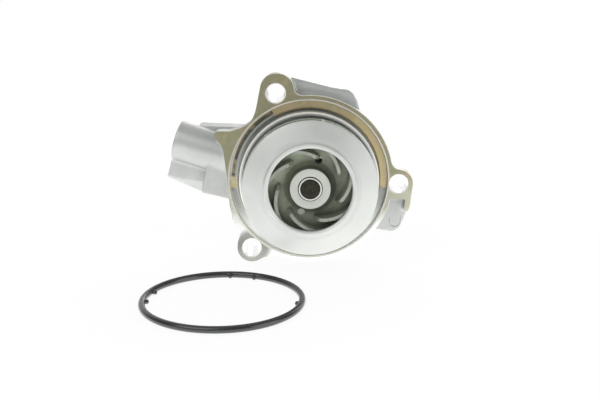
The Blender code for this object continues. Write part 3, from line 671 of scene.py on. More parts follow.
def make_rubber(name="black_rubber", gloss=0.20, base=(0.009, 0.011, 0.010)):
    n = Nodes(name)
    big = n.noise(90.0, 3.0)
    grain = n.noise(3200.0, 3.0, 0.6)
    dust = n.noise(600.0, 5.0, 0.7)
    col = n.mix(n.span(big, 0.35, 0.7), base, tuple(2.0 * c for c in base))
    col = n.mix(n.span(dust, 0.62, 0.80, 0.0, 0.16), col, (0.10, 0.11, 0.105))
    n.set("Base Color", col)
    n.set("Roughness", n.math("ADD", n.span(grain, 0.3, 0.7, gloss - 0.06, gloss + 0.10),
                              n.span(dust, 0.5, 0.75, 0.0, 0.15)))
    n.set("Specular IOR Level", 0.85)
    n.set("Normal", n.bump(grain, 0.05, 0.03, n.bump(big, 0.08, 0.3)))
    return n.m


def make_moulded(name, base, gloss=0.42):
    n = Nodes(name)
    big = n.noise(120.0, 3.0)
    grain = n.noise(4200.0, 3.0, 0.6)
    fibre = n.noise(1400.0, 4.0, 0.6, distortion=0.4)
    col = n.mix(n.span(big, 0.3, 0.7), base, tuple(1.7 * c + 0.004 for c in base))
    col = n.mix(n.span(fibre, 0.55, 0.72, 0.0, 0.3), col, tuple(2.4 * c + 0.02 for c in base))
    n.set("Base Color", col)
    n.set("Roughness", n.span(grain, 0.3, 0.7, gloss - 0.05, gloss + 0.12))
    n.set("Normal", n.bump(grain, 0.18, 0.04))
    return n.m


def make_windings(name="copper_windings"):
    n = Nodes(name)
    big = n.noise(200.0, 3.0)
    gr = n.noise(2600.0, 2.0)
    col = n.ramp(big, [(0.3, (0.42, 0.15, 0.065)), (0.7, (0.62, 0.27, 0.12))])
    # painted shade: corners of the winding are darkened to near-black
    n.set("Base Color", n.mix(n.span(n.cavity(1.0), 0.7, 0.2, 0.0, 0.7), col, (0.06, 0.02, 0.01)))
    n.set("Metallic", 0.9)
    n.set("Roughness", n.span(gr, 0.3, 0.7, 0.22, 0.36))
    n.set("Coat Weight", 0.6)
    n.set("Normal", n.bump(gr, 0.08, 0.03))
    return n.m


mats["cast"] = make_cast()
mats["face"] = make_face()
mats["bore"] = make_turned("machined_bore", (0.36, 0.37, 0.35), (0.50, 0.51, 0.49), (0.28, 0.42), 0.8, 0.2, 0.08)
# painted highlight: cut edges are painted near-white so they show as bright lines
mats["rim"] = make_turned("painted_highlight_edge", (0.93, 0.91, 0.85), (0.98, 0.96, 0.91), (0.42, 0.52), 0.2, 0.1, 0.02, 0.0, 0.05)
mats["hole"] = make_turned("drilled_hole", (0.97, 0.97, 0.97), (1.0, 1.0, 1.0), (0.12, 0.20), 0.9, 0.2, 0.02, 0.0, 0.02)
mats["shroud"] = make_turned("shroud_turned", (0.60, 0.618, 0.592), (0.655, 0.672, 0.645), (0.38, 0.46), 0.45, 0.16, 0.02,
                             0.45, 0.2, (0.38, 0.38, 0.36))
mats["hub"] = make_turned("hub_turned", (0.48, 0.495, 0.45), (0.55, 0.565, 0.515), (0.38, 0.48), 0.4, 0.14, 0.04, 0.35, 0.15)
mats["sleeve"] = make_turned("pressed_sleeve", (0.62, 0.65, 0.63), (0.76, 0.78, 0.76), (0.30, 0.42), 0.55, 0.3, 0.03,
                             0.5, 0.2, (0.22, 0.23, 0.22))
mats["bright"] = make_turned("bright_steel", (0.58, 0.58, 0.56), (0.72, 0.72, 0.70), (0.18, 0.30), 1.0, 0.12, 0.05)
mats["brushed"] = make_metal("ground_steel", (0.55, 0.55, 0.54), (0.70, 0.70, 0.69), (0.2, 0.34))
mats["polished"] = make_metal("polished_steel", (0.62, 0.62, 0.61), (0.74, 0.74, 0.73), (0.06, 0.14), bump=0.02)
mats["spring"] = make_metal("spring_wire", (0.26, 0.26, 0.27), (0.40, 0.40, 0.41), (0.26, 0.40), bump=0.06)
mats["brass"] = make_metal("brass_sheet", (0.55, 0.40, 0.15), (0.70, 0.54, 0.24), (0.22, 0.36), dark=(0.16, 0.11, 0.04))
mats["impeller"] = make_impeller()
mats["blade"] = make_blade()
mats["shaft"] = make_shaft()
mats["rubber"] = make_rubber()
mats["seal_rubber"] = make_rubber("seal_rubber", 0.5, (0.016, 0.016, 0.016))
mats["carbon"] = make_moulded("carbon_face", (0.035, 0.035, 0.038), 0.38)
mats["ceramic"] = make_moulded("ceramic_face", (0.42, 0.40, 0.35), 0.22)
mats["cage"] = make_moulded("cage_polyamide", (0.095, 0.072, 0.040), 0.40)
mats["black"] = make_moulded("connector_plastic", (0.013, 0.013, 0.014), 0.40)
mats["copper"] = make_windings()
mats["pulley"] = make_turned("pulley_sintered", (0.21, 0.215, 0.22), (0.32, 0.325, 0.33), (0.34, 0.48), 0.85, 0.25, 0.10,
                             0.5, 0.4, (0.07, 0.065, 0.055))

made = []


def dress(o, mat, body, nodes):
    o.data.materials.clear()
    for m in (mat if isinstance(mat, (list, tuple)) else [mat]):
        o.data.materials.append(mats[m])
    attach(o, body)
    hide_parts(*([nodes] if isinstance(nodes, str) else nodes))
    made.append(o)
    return o


# ============================================================ main dimensions
FLANGE_R, FLANGE_T = 42.3, 9.0
RECESS_R, RECESS_D = 39.64, 2.8
BOLT_TOP, BOLT_RIGHT, BOLT_LOW = (-16.3, 43.2), (45.0, -2.1), (-28.9, -34.9)
EAR_TOP, EAR_TOP_R = (-15.6, 44.4), 8.6
SLEEVE_R, SLEEVE_FRONT, SLEEVE_BACK = 34.6, -5.6, 4.4
TOWER_R, TOWER_NOSE = 23.0, -8.5
BODY_R, BODY_END = 37.5, 33.8
VALVE_END, VALVE_DEPTH, VALVE_R, VALVE_BORE_R = (-67.1, 18.05), 16.0, 10.2, 7.6
IMP_R, PLATE_FRONT, PLATE_BACK = 32.5, -14.5, -12.5
HUB_R, HUB_FACE = 9.68, -21.5
EYE_R, LIP_R, LIP_FACE, SHROUD_EDGE = 19.9, 22.3, -25.5, -21.5
PISTON = (17.6, 250.0)

slope = math.radians(16.0)
valve_dir = Vector((math.cos(slope), math.sin(slope), -0.10)).normalized()
VALVE = frame_at((VALVE_END[0], -VALVE_END[1], VALVE_DEPTH), valve_dir)
PLUG = frame_at((22.5, -36.0, 17.0), (-0.94, 0.34, 0))
PUMP = frame_at(on_axis(*PISTON))


# ==================================================================== housing
def flange_outline():
    pts = []
    pts += curve([(-28.2, 29.9), (-26.7, 33.4), (-25.8, 36.9), (-25.0, 40.9)], 4)
    pts += arc(*EAR_TOP, EAR_TOP_R, 160, 8, 40)
    pts += curve([(-7.0, 44.6), (-6.2, 43.3), (-4.6, 42.35)], 6)
    pts += arc(0, 0, FLANGE_R, 94, 16, 60)
    pts += curve([(41.2, 8.9), (42.3, 6.8), (43.8, 5.6)], 6)
    pts += arc(*BOLT_RIGHT, 7.4, 86, -6, 32)
    pts += curve([(52.1, -5.0), (51.8, -7.5), (51.1, -13.5), (50.2, -15.9), (49.1, -16.4), (48.1, -15.4),
                  (48.8, -10.6)], 4)
    pts += curve([(47.6, -9.7), (44.6, -10.2), (41.4, -9.4)], 5)
    pts += arc(0, 0, FLANGE_R, -14, -109, 70)
    pts += curve([(-16.2, -39.2), (-19.0, -39.4), (-22.4, -39.9)], 5)
    pts += arc(*BOLT_LOW, 7.4, -52, -182, 44)
    pts += curve([(-36.0, -31.6), (-34.7, -28.4), (-34.6, -25.6), (-36.6, -23.4),
                  (-38.6, -20.6), (-38.8, -17.6), (-39.6, -14.0), (-40.2, -9.0),
                  (-40.7, -3.0), (-41.0, 3.0), (-41.8, 9.3), (-42.5, 15.0),
                  (-43.9, 18.3), (-46.0, 20.9), (-46.8, 22.9), (-45.6, 24.6),
                  (-43.0, 24.9), (-38.9, 24.9), (-33.4, 26.5), (-30.2, 28.1)], 4)
    return pts


shapes = [
    slab("s1", flange_outline(), -2.0, FLANGE_T),
    lathe("s2", [(0, 4.0), (BODY_R, 4.0), (BODY_R, BODY_END - 2), (BODY_R - 2, BODY_END),
                 (21.5, BODY_END), (19.5, BODY_END + 2), (19.5, 49.6), (19.1, 50.0), (0, 50.0)], steps=160),
    slab("s3", blunt([(-23.5, 44.0), (-21.5, 48.6), (-16.0, 50.6), (-8.4, 50.4), (12.0, 45.3), (16.3, 44.6),
                      (19.9, 44.2), (22.4, 42.3), (24.3, 38.8), (25.3, 35.1), (28.5, 29.0), (20.0, 22.0),
                      (-18.0, 24.0), (-26.0, 30.0)], 2.0), 7.6, 25.0),
    slab("s4", blunt([(32.0, -6.0), (49.2, -6.0), (50.1, -12.0), (50.1, -18.0), (47.6, -24.6), (46.2, -26.8),
                      (43.0, -28.3), (34.6, -27.1), (26.0, -22.0)], 2.0), 5.2, 15.0),
    rod("s5", 6.6, 6.5, 18.0, frame_at((BOLT_LOW[0], -BOLT_LOW[1], 0)), 64, 0.0),
    slab("s6", blunt([(-34.5, -33.0), (-24.0, -39.5), (-18.0, -25.0), (-26.0, -18.0)], 2.0), 6.7, 17.0),
    slab("s7", blunt([(-50.6, 13.5), (-46.0, 18.5), (-33.0, 22.0), (-24.0, 18.0), (-26.0, -17.0), (-38.0, -11.6),
                      (-41.0, -10.8), (-54.9, -7.5), (-51.8, 4.2)], 1.6), 5.6, 30.0),
    slab("s7b", blunt([(-57.3, 25.5), (-46.0, 25.0), (-32.0, 24.5), (-24.5, 17.5), (-26.5, 5.0), (-52.5, 8.0)], 2.0),
         15.0, 29.5),
    # a slab under the valve boss; its lower front edge is a long chamfer
    loft("s8", [([(-69.0, 13.0), (-69.9, 8.5), (-72.6, -0.3), (-67.1, -1.7), (-55.3, -3.4), (-49.0, -3.7), (-46.0, 8.0)], 13.4),
                ([(-69.0, 13.0), (-70.1, 8.5), (-72.8, -1.5), (-67.5, -3.9), (-56.0, -8.9), (-49.0, -8.5), (-46.0, 8.0)], 16.0),
                ([(-69.0, 13.0), (-70.1, 8.5), (-72.6, -1.6), (-67.3, -4.1), (-56.0, -9.1), (-49.0, -8.7), (-46.0, 8.0)], 27.0)]),
    rod("s9", VALVE_R, 0.0, 34.0, VALVE, 96, 0.5),
    # lip ribs that tie the rear boss to the body
    slab("s10", blunt([(34.0, 3.5), (40.5, 2.5), (44.8, -6.0), (34.0, -7.5)], 1.5), 5.0, 12.0),
]
housing = merge("housing_casting", shapes)
voxel(housing, 0.55, 6, 0.5)


def chamfered_hole(name, x, z, r, d0, d1, face, c=0.45, at=None):
    at = at or frame_at((x, -z, 0))
    return lathe(name, [(0, d0), (r + c + (face - d0), d0), (r + c, face), (r, face + c), (r, d1), (0, d1)], at, 96)


cuts = [
    tube("c_face", TOWER_R - 0.1, 95.0, -30.0, 0.0, steps=180, fillet=0.0),
    lathe("c_void", [(RECESS_R + 3.75, -3.0), (RECESS_R + 0.75, 0.0), (RECESS_R, 0.6), (RECESS_R, RECESS_D - 0.3),
                     (RECESS_R - 0.3, RECESS_D),
                     (SLEEVE_R + 1.5, RECESS_D), (SLEEVE_R + 0.9, RECESS_D + 0.6), (SLEEVE_R + 0.9, 5.6),
                     (31.0, 5.6), (30.3, 6.3), (30.3, 31.3), (TOWER_R, 31.3), (TOWER_R, -3.0)], steps=240),
]
combine(housing, cuts)
combine(housing, [lathe("c_nose", [(0, TOWER_NOSE), (TOWER_R - 0.75, TOWER_NOSE), (TOWER_R - 0.15, TOWER_NOSE + 0.6),
                                   (TOWER_R - 0.15, 6.0), (0, 6.0)], steps=180)], "UNION")
cuts = [
    tube("c_groove", TOWER_R - 0.9, TOWER_R + 2.0, -7.7, -6.3, steps=160, fillet=0.0),
    lathe("c_bore", [(0, TOWER_NOSE - 4), (17.5, TOWER_NOSE - 4), (13.5, TOWER_NOSE), (13.5, 5.0), (11.5, 5.0),
                     (11.5, 11.7), (15.25, 11.7), (15.25, 49.3), (15.95, 50.0), (19.95, 54.0), (0, 54.0)], steps=160),
    slab("c_pocket", arc(0, 0, 39.0, 118, 178, 60) + arc(0, 0, 37.2, 178, 118, 60), 1.0, 5.0),
    chamfered_hole("c_h1", *BOLT_TOP, 4.55, -5, 40, 0.0),
    chamfered_hole("c_h2", *BOLT_RIGHT, 4.55, -5, 40, 0.0),
    chamfered_hole("c_h3", *BOLT_LOW, 4.55, -5, 40, 0.0),
    rod("c_piston", 3.5, TOWER_NOSE - 4, 11.2, PUMP, 48, 0.0),
    lathe("c_valve", [(0, -5.0), (VALVE_BORE_R + 5.6, -5.0), (VALVE_BORE_R + 0.6, 0.0), (VALVE_BORE_R, 0.6),
                      (VALVE_BORE_R, 25.0), (0, 25.0)], VALVE, 96),
    rod("c_plug", 4.2, -6.0, 8.0, PLUG, 48, 0.0),
    wire("c_mark", [(41.3, 20.3, 5.15), (41.3, 21.6, 5.15)]
         + [(x, -z, 5.15) for x, z in arc(44.1, -22.7, 2.8, 180, 360, 20)]
         + [(46.95, 21.6, 5.15), (47.0, 20.0, 5.15)], 0.38, 10),
]
combine(housing, cuts, angle=34)


def face_slots(o):
    """0 cast skin, 1 milled face, 2 bores and turned steps, 3 cut edge painted near-white as a highlight."""
    me = o.data
    count = len(me.polygons)
    c = np.zeros(count * 3)
    nm = np.zeros(count * 3)
    me.polygons.foreach_get("center", c)
    me.polygons.foreach_get("normal", nm)
    c, nm = c.reshape(-1, 3) / MM, nm.reshape(-1, 3)
    d = c[:, 1] - FACE / MM
    r = np.hypot(c[:, 0], c[:, 2])
    slot_ = np.zeros(count, np.int32)
    front = nm[:, 1] < -0.98
    slot_[(abs(d) < 0.03) & front] = 1
    void = (r < RECESS_R + 0.02) & (r > TOWER_R - 0.05) & (d > -9) & (d < 31.5)
    slot_[void] = 2
    floor_ = (r < RECESS_R + 0.02) & (r > SLEEVE_R + 0.2) & (d > 0.45) & (d < 5.2)
    slot_[floor_] = 1
    slot_[(r <= TOWER_R + 0.05) & (d < 54) & (nm[:, 1] > -2)] = 2
    rear = (r < 15.3) | (abs(r - 15.6) < 0.5) & (d > 49)
    slot_[(d > 34) & ~rear] = 0
    slot_[(abs(d - 50.0) < 0.35) & (nm[:, 1] > 0.9)] = 2
    # painted highlight: the recess chamfer and the bolt-hole chamfers take the near-white edge paint
    cham = (r > RECESS_R - 0.02) & (r < RECESS_R + 0.82) & (d > -0.02) & (d < 0.62) & (nm[:, 1] > -0.9) & (nm[:, 1] < -0.4)
    slot_[cham] = 3
    for x, z in (BOLT_TOP, BOLT_RIGHT, BOLT_LOW):
        rr = np.hypot(c[:, 0] - x, c[:, 2] - z)
        slot_[(rr < 4.6) & (d > 0.05) & ~front] = 4
        slot_[(rr < 5.2) & (d > 0.02) & (d < 0.46) & ~front] = 3
    me.polygons.foreach_set("material_index", slot_)


dress(housing, ["cast", "face", "bore", "rim", "hole"], "housing", "pump_housing")
face_slots(housing)

# ===================================================== sleeve and annular piston
sleeve = lathe("sleeve_cup", [
    (34.0, SLEEVE_FRONT, 0.1), (SLEEVE_R, SLEEVE_FRONT + 0.8, 0.1), (SLEEVE_R, SLEEVE_BACK, 0.4), (29.0, SLEEVE_BACK, 0.1),
    (29.0, SLEEVE_BACK - 0.9, 0.1), (33.8, SLEEVE_BACK - 0.9, 0.3), (33.8, SLEEVE_FRONT + 0.75, 0.2),
    (33.0, SLEEVE_FRONT + 0.75, 0.1), (33.0, SLEEVE_FRONT, 0.12)], steps=220, fillet=0.2)
dress(sleeve, ["sleeve", "rim"], "sleeve", "regulating_sleeve")
# painted highlight: the sleeve's outer front chamfer takes the near-white edge paint
for p in sleeve.data.polygons:
    out = math.hypot(p.center.x, p.center.z) / MM > 33.95
    if out and -0.95 < p.normal.y < -0.3:
        p.material_index = 1
dress(lathe("annular_piston_cup", [
    (29.9, SLEEVE_BACK + 0.3), (29.9, 28.9, 0.6), (23.4, 28.9, 0.3), (23.4, 11.0), (24.2, 11.0), (24.2, 27.4, 0.5),
    (29.1, 27.4, 0.5), (29.1, SLEEVE_BACK + 0.3)], fillet=0.15), "sleeve", "sleeve", "annular_piston")
dress(lathe("piston_lip_ring", [
    (30.0, 29.2), (30.0, 30.9), (28.6, 30.2), (24.7, 30.2), (23.35, 30.9), (23.35, 29.2)], fillet=0.25),
    "seal_rubber", "sleeve", "piston_lip_seal")
dress(lathe("spring_seat_ring", [
    (28.6, -6.0, 0.5), (28.6, -4.2, 0.1), (28.0, -4.2, 0.1), (28.0, -5.1, 0.3), (23.4, -5.1, 0.1), (23.4, -6.0, 0.1)],
    fillet=0.1), "bright", "housing", "spring_retainer")
spring = dress(coil("sleeve_return_spring", 26.6, 1.7, -4.8, 27.1, 5.0), "spring", "housing", "return_spring")
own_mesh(spring)

gap_a0, gap_a1 = 90 + 12, 90 + 360 - 12
dress(slab("snap_ring", blunt(arc(0, 0, 24.9, gap_a0, gap_a1, 120) + arc(0, 0, 22.35, gap_a1, gap_a0, 120), 0.5, 3),
           -7.5, -6.5, bevel=0.12), "spring", "housing", "retainer_circlip")

# ================================================================= piston pump
dress(tube("piston_liner", 2.35, 3.2, -8.3, 10.9, PUMP, 64, 0.12), "brushed", "housing", "pump_piston_liner")
dress(lathe("drive_piston", [
    (0, -9.35), (1.2, -9.1, 0.5), (2.0, -8.2, 0.4), (2.0, 1.5, 0.2), (1.2, 1.5, 0.1), (1.2, -3.5, 0.1), (0, -3.5)],
    PUMP, 64, 0.15), "polished", "piston", "pump_piston")
small = dress(coil("piston_spring_coil", 1.62, 0.55, 1.8, 6.6, 4.0, PUMP, 32, 10), "spring", "housing",
              "pump_piston_spring")
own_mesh(small)
dress(ball("check_ball", 1.9, (0, 0, 8.8), PUMP), "polished", "housing", "pump_check_ball")

# ==================================================================== solenoid
dress(lathe("valve_can", [
    (7.3, 5.6), (7.3, 24.4), (1.3, 24.4), (1.3, 22.9), (6.2, 22.9), (6.2, 5.6)], VALVE, 96, 0.3),
    "brushed", "housing", "valve_body")
turns = []
for i in range(22):
    turns += [(5.85, 8.25 + i * 0.5 - 0.2, 0.0), (5.62, 8.25 + i * 0.5 + 0.2, 0.0)]
winding = [(3.4, 8.0), (5.6, 8.0)] + [(p[0], p[1] + 0.1) for p in turns][:-1] + [(5.6, 19.0), (3.4, 19.0)]
dress(lathe("valve_winding", [(3.4, 8.0, 0.1)] + [
    (5.85 - 0.22 * (k % 2), 8.15 + k * 0.25, 0.08) for k in range(43)] + [(3.4, 19.0, 0.1)], VALVE, 96, 0.1),
    "copper", "housing", "valve_coil")
dress(lathe("valve_plunger", [
    (0, 8.6), (2.6, 8.6), (2.6, 17.4), (1.0, 18.6), (0, 18.6)], VALVE, 64, 0.25), "polished", "armature",
    "valve_armature")
vs = dress(coil("plunger_spring", 1.75, 0.5, 18.9, 22.6, 4.0, VALVE, 32, 10), "spring", "housing", "valve_spring")
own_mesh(vs)
sock = lathe("valve_connector", [
    (0, 3.4), (5.6, 3.4, 0.3), (5.6, 0.6, 0.15), (7.2, 0.6, 0.3), (7.2, 5.3), (5.9, 5.3), (5.9, 7.7), (0, 7.7)],
    VALVE, 96, 0.15)
holes = [rod("ph%d" % i, 0.85, 1.0, 9.0, VALVE @ Matrix.Translation((off * MM, 0, 0)), 32, 0.0)
         for i, off in enumerate((-2.1, 2.1))]
combine(sock, holes)
dress(sock, "black", "housing", "valve_socket")
for i, off in enumerate((-2.1, 2.1)):
    dress(rod("contact_pin_%d" % (i + 1), 0.55, 1.4, 7.2, VALVE @ Matrix.Translation((off * MM, 0, 0)), 32, 0.2),
          "brass", "housing", "valve_pin_%d" % (i + 1))
dress(lathe("gallery_plug", [
    (0, 1.9), (1.5, 1.9, 0.2), (1.9, 0.4, 0.2), (3.9, 0.4, 0.4), (3.9, 5.5), (0, 5.5)], PLUG, 64, 0.2),
    "brushed", "housing", "passage_plug")

# ===================================================================== bearing
BD, RD = 21.0, 40.0
dress(lathe("bearing_outer", [
    (15.0, 12.0, 0.4), (15.0, 49.5, 0.4), (13.3, 49.5), (13.3, 47.1), (12.3, 47.1), (12.3, RD + 4.6), (12.9, RD + 4.6),
    (12.9, RD - 4.6), (12.3, RD - 4.6), (12.3, BD + 2.0), (12.95, BD + 1.1, 0.8), (12.95, BD - 1.1, 0.8),
    (12.3, BD - 2.0), (12.3, 14.4), (13.3, 14.4), (13.3, 12.0)], fillet=0.12), "bright", "housing",
    "bearing_outer_ring")
for label, d0 in (("front", 12.3), ("rear", 47.4)):
    dress(lathe("lip_seal_" + label, [
        (13.0, d0, 0.3), (13.0, d0 + 1.8, 0.3), (9.4, d0 + 1.8), (8.3, d0 + 1.4, 0.1), (8.3, d0 + 0.6, 0.1), (9.4, d0)],
        fillet=0.25), "seal_rubber", "housing", "bearing_seal_" + label)

for kind, pitch, dd, half in (("ball", 10.2, BD, 4.0), ("roller", 10.4, RD, 5.6)):
    cage = tube(kind + "_separator", pitch - 0.9, pitch + 0.9, dd - half, dd + half, MAIN, 112, 0.2)
    pockets = []
    for i in range(7):
        a = i * 360.0 / 7 + 12
        place = on_axis(pitch, a, dd)
        if kind == "ball":
            pockets.append(rod("pk%d" % i, 2.78, -3, 3, frame_at(place, (place[0], place[1], 0)), 40, 0.0))
        else:
            hw, hl = 2.5, 4.3
            f = frame_at(place, (place[0], place[1], 0))
            bm = bmesh.new()
            bmesh.ops.create_cube(bm, size=1.0)
            lat = f.to_3x3().inverted() @ Vector((0, 1, 0))
            along_x = abs(lat.x) > abs(lat.y)
            for v in bm.verts:
                u, w = (2 * hl, 2 * hw) if along_x else (2 * hw, 2 * hl)
                v.co = Vector((v.co.x * u, v.co.y * w, v.co.z * 6))
            pockets.append(from_bm("pk%d" % i, bm, f))
    combine(cage, pockets)
    dress(cage, "cage", kind + "_row", kind + "_cage")
    for i in range(7):
        a = i * 360.0 / 7 + 12
        if kind == "ball":
            dress(ball("race_ball_%d" % (i + 1), 2.5, on_axis(pitch, a, dd)), "polished", "ball_row",
                  "bearing_ball_%d" % (i + 1))
        else:
            dress(rod("race_roller_%d" % (i + 1), 2.2, -4.0, 4.0, frame_at(on_axis(pitch, a, dd)), 48, 0.25),
                  "polished", "roller_row", "bearing_roller_%d" % (i + 1))

# =================================================================== face seal
dress(lathe("seal_brass_cup", [
    (13.2, -6.9, 0.1), (13.2, 4.6, 0.8), (6.9, 4.6, 0.2), (6.9, 3.8, 0.2), (12.5, 3.8, 0.3), (12.5, -6.9, 0.1)],
    fillet=0.1), "brass", "housing", "seal_cup")
dress(lathe("seal_bellows_boot", [
    (9.2, -5.2), (9.2, -3.6), (7.6, -3.0), (8.6, -1.4), (7.6, 0.2), (9.0, 1.6), (9.0, 3.5), (6.5, 3.5), (6.5, -5.2)],
    fillet=0.4), "seal_rubber", "housing", "seal_bellows")
dress(coil("seal_coil_spring", 10.8, 1.1, -5.0, 3.5, 3.5), "spring", "housing", "seal_spring")
dress(lathe("carbon_face_ring", [
    (10.4, -9.5, 0.1), (10.4, -8.0), (11.9, -7.4), (11.9, -5.5), (6.8, -5.5), (6.8, -9.5, 0.1)], fillet=0.2),
    "carbon", "housing", "seal_carbon_ring")
dress(tube("ceramic_face_ring", 6.4, 11.0, -12.1, -9.8, MAIN, 128, 0.12), "ceramic", "rotor", "seal_seat_ring")
dress(tube("seat_boot_ring", 11.3, 12.7, -12.1, -10.3, MAIN, 128, 0.2), "seal_rubber", "rotor", "seal_seat_boot")

# ======================================================================= rotor
dress(lathe("drive_shaft", [
    (0, -21.5), (0.55, -21.55, 0.2), (0.95, -22.2, 0.1), (4.45, -22.2, 0.15), (4.68, -21.9, 0.1), (4.68, -12.3, 0.1),
    (6.0, -12.3, 0.2), (6.0, 8.5, 0.3), (7.95, 10.0, 0.3), (7.95, BD - 1.8, 0.1), (7.45, BD - 1.1, 0.6),
    (7.45, BD + 1.1, 0.6), (7.95, BD + 1.8, 0.1), (7.95, 57.4, 0.2), (7.35, 58.0, 0.2), (2.0, 58.0, 0.1),
    (0.9, 57.0, 0.2), (0, 56.6)], steps=144, fillet=0.12), "shaft", "rotor", "pump_shaft")
dress(lathe("hub_liner", [
    (4.78, -21.95, 0.04), (4.84, -22.05, 0.04), (5.16, -22.05, 0.03), (5.2, -21.95, 0.03), (5.42, -21.95, 0.06), (5.5, -21.9, 0.04), (5.5, -19.4, 0.1), (5.9, -19.2, 0.1),
    (5.9, -12.6, 0.1), (4.98, -12.6, 0.1), (4.98, -21.5, 0.1), (4.78, -21.6, 0.05)], steps=144, fillet=0.05),
    ["bright", "hub"], "rotor", "hub_bush")
for p in made[-1].data.polygons:
    if (p.center.y - FACE) / MM < -21.9 and math.hypot(p.center.x, p.center.z) / MM < 5.2:
        p.material_index = 1


def shroud_inner(r):
    t = (r - EYE_R) / (IMP_R - EYE_R)
    return -23.4 + 3.1 * t ** 0.8 if t > 0 else -23.4


impeller = lathe("impeller_wheel", [
    (HUB_R, HUB_FACE, 0.25), (HUB_R + 0.05, -18.6, 0.6), (HUB_R + 0.7, -16.4, 1.6), (HUB_R + 2.9, -15.0, 2.0),
    (16.5, PLATE_FRONT, 2.0), (IMP_R, PLATE_FRONT, 0.2), (IMP_R, PLATE_BACK, 0.2), (6.2, PLATE_BACK, 0.1),
    (6.2, HUB_FACE + 1.2, 0.1), (5.92, HUB_FACE + 0.9, 0.1), (5.92, HUB_FACE + 0.1, 0.15)], steps=200, fillet=0.2)


def blade(name, first):
    """A backward-swept blade whose rounded inlet edge rises from the plate."""
    r0, r1 = 14.7, IMP_R - 0.7
    reach = [r0 + 0.9 * (k / 10) ** 1.4 for k in range(10)] + [r0 + 0.9 + (r1 - r0 - 0.9) * k / 46 for k in range(47)]
    n = len(reach) - 1
    mid = [(r, *polar(r, first + 145.0 * math.log(r / EYE_R))) for r in reach]
    bm = bmesh.new()
    rows = []
    for i, (r, x, z) in enumerate(mid):
        a, b = mid[max(i - 1, 0)], mid[min(i + 1, n)]
        tx, tz = b[1] - a[1], b[2] - a[2]
        k = math.hypot(tx, tz)
        nx, nz = -tz / k, tx / k
        lead = min(1.0, max(0.0, (r - r0) / 0.8))
        w = 0.90 * (0.22 + 0.78 * math.sqrt(1 - (1 - lead) ** 2))
        if r > r1 - 1.0:
            w *= 0.75 + 0.25 * (r1 - r)
        top = shroud_inner(max(r, EYE_R)) + 0.3 if r > EYE_R else -23.1 + 0.15 * (EYE_R - r)
        rise = math.sin(min(1.0, max(0.0, (r - r0) / 1.2)) * math.pi / 2) ** 0.7
        top = (PLATE_FRONT - 1.6) + (top - (PLATE_FRONT - 1.6)) * rise
        low = PLATE_FRONT + 0.7
        e = 0.22
        foot = 0.5
        section = [(-w - foot, low), (-w - foot * 0.35, PLATE_FRONT - 0.35), (-w, PLATE_FRONT - 1.1), (-w, top + e),
                   (-w + 0.1, top + 0.1), (-w + e, top), (w - e, top), (w - 0.1, top + 0.1), (w, top + e),
                   (w, PLATE_FRONT - 1.1), (w + foot * 0.35, PLATE_FRONT - 0.35), (w + foot, low)]
        rows.append([bm.verts.new((x + nx * u, -(z + nz * u), d)) for u, d in section])
    m = len(rows[0])
    for a, b in zip(rows, rows[1:]):
        for k in range(m):
            j = (k + 1) % m
            bm.faces.new((a[k], a[j], b[j], b[k]))
    bm.faces.new(rows[0])
    bm.faces.new(rows[-1])
    return from_bm(name, bm)


blades = [blade("blade_%d" % (k + 1), 64.3 + k * 360.0 / 7) for k in range(7)]
combine(impeller, blades, "UNION")
combine(impeller, [rod("bh%d" % i, 1.75, PLATE_FRONT - 4, end, frame_at(on_axis(13.3, a)), 48, 0.0)
                   for i, (a, end) in enumerate(((71.6, PLATE_BACK + 4), (251.6, PLATE_FRONT + 0.5)))])
dress(impeller, ["impeller", "hub", "blade"], "rotor", "impeller_body")
me = impeller.data
for p in me.polygons:
    r = math.hypot(p.center.x, p.center.z) / MM
    d = (p.center.y - FACE) / MM
    if r < HUB_R + 0.1 and d < HUB_FACE + 0.5 or r > IMP_R - 0.05:
        p.material_index = 1
    # painted light: blade faces that look to the front take the lighter blade skin
    elif r > 15.0 and d < -19.0 and p.normal.y < -0.35:
        p.material_index = 2
    else:
        for a in (71.6, 251.6):
            x, z = polar(13.3, a)
            if math.hypot(p.center.x / MM - x, p.center.z / MM - z) < 1.78 and d > PLATE_FRONT + 0.05:
                p.material_index = 1

dress(lathe("shroud_cover", [
    (EYE_R, LIP_FACE + 0.6, 0.5), (EYE_R + 0.7, LIP_FACE, 0.5), (LIP_R - 0.5, LIP_FACE, 0.5),
    (LIP_R, LIP_FACE + 0.6, 0.5), (LIP_R + 0.15, LIP_FACE + 1.3, 0.5), (24.5, -24.0, 1.5), (28.0, -22.9, 3.0),
    (IMP_R - 0.5, SHROUD_EDGE - 0.1, 0.4), (IMP_R, SHROUD_EDGE + 0.3, 0.3), (IMP_R, shroud_inner(IMP_R), 0.1),
    (28.0, shroud_inner(28.0), 2.0), (24.0, shroud_inner(24.0), 2.0), (EYE_R, shroud_inner(EYE_R), 0.2)],
    steps=240, fillet=0.3), "shroud", "rotor", "impeller_shroud")

tilt = math.atan(2.0 / 43.2)


def slant(co, a):
    if co.z > -10.8:
        length = 1.45 + math.tan(tilt) * co.y
        co.z = -12.2 + (co.z + 12.2) * length / 3.2
    return co


dress(lathe("swash_plate", [(21.6, -12.2, 0.2), (21.6, -9.0, 0.3), (14.2, -9.0, 0.3), (14.2, -12.2, 0.2)],
            steps=160, fillet=0.2, warp=slant), "bright", "rotor", "swash_ring")


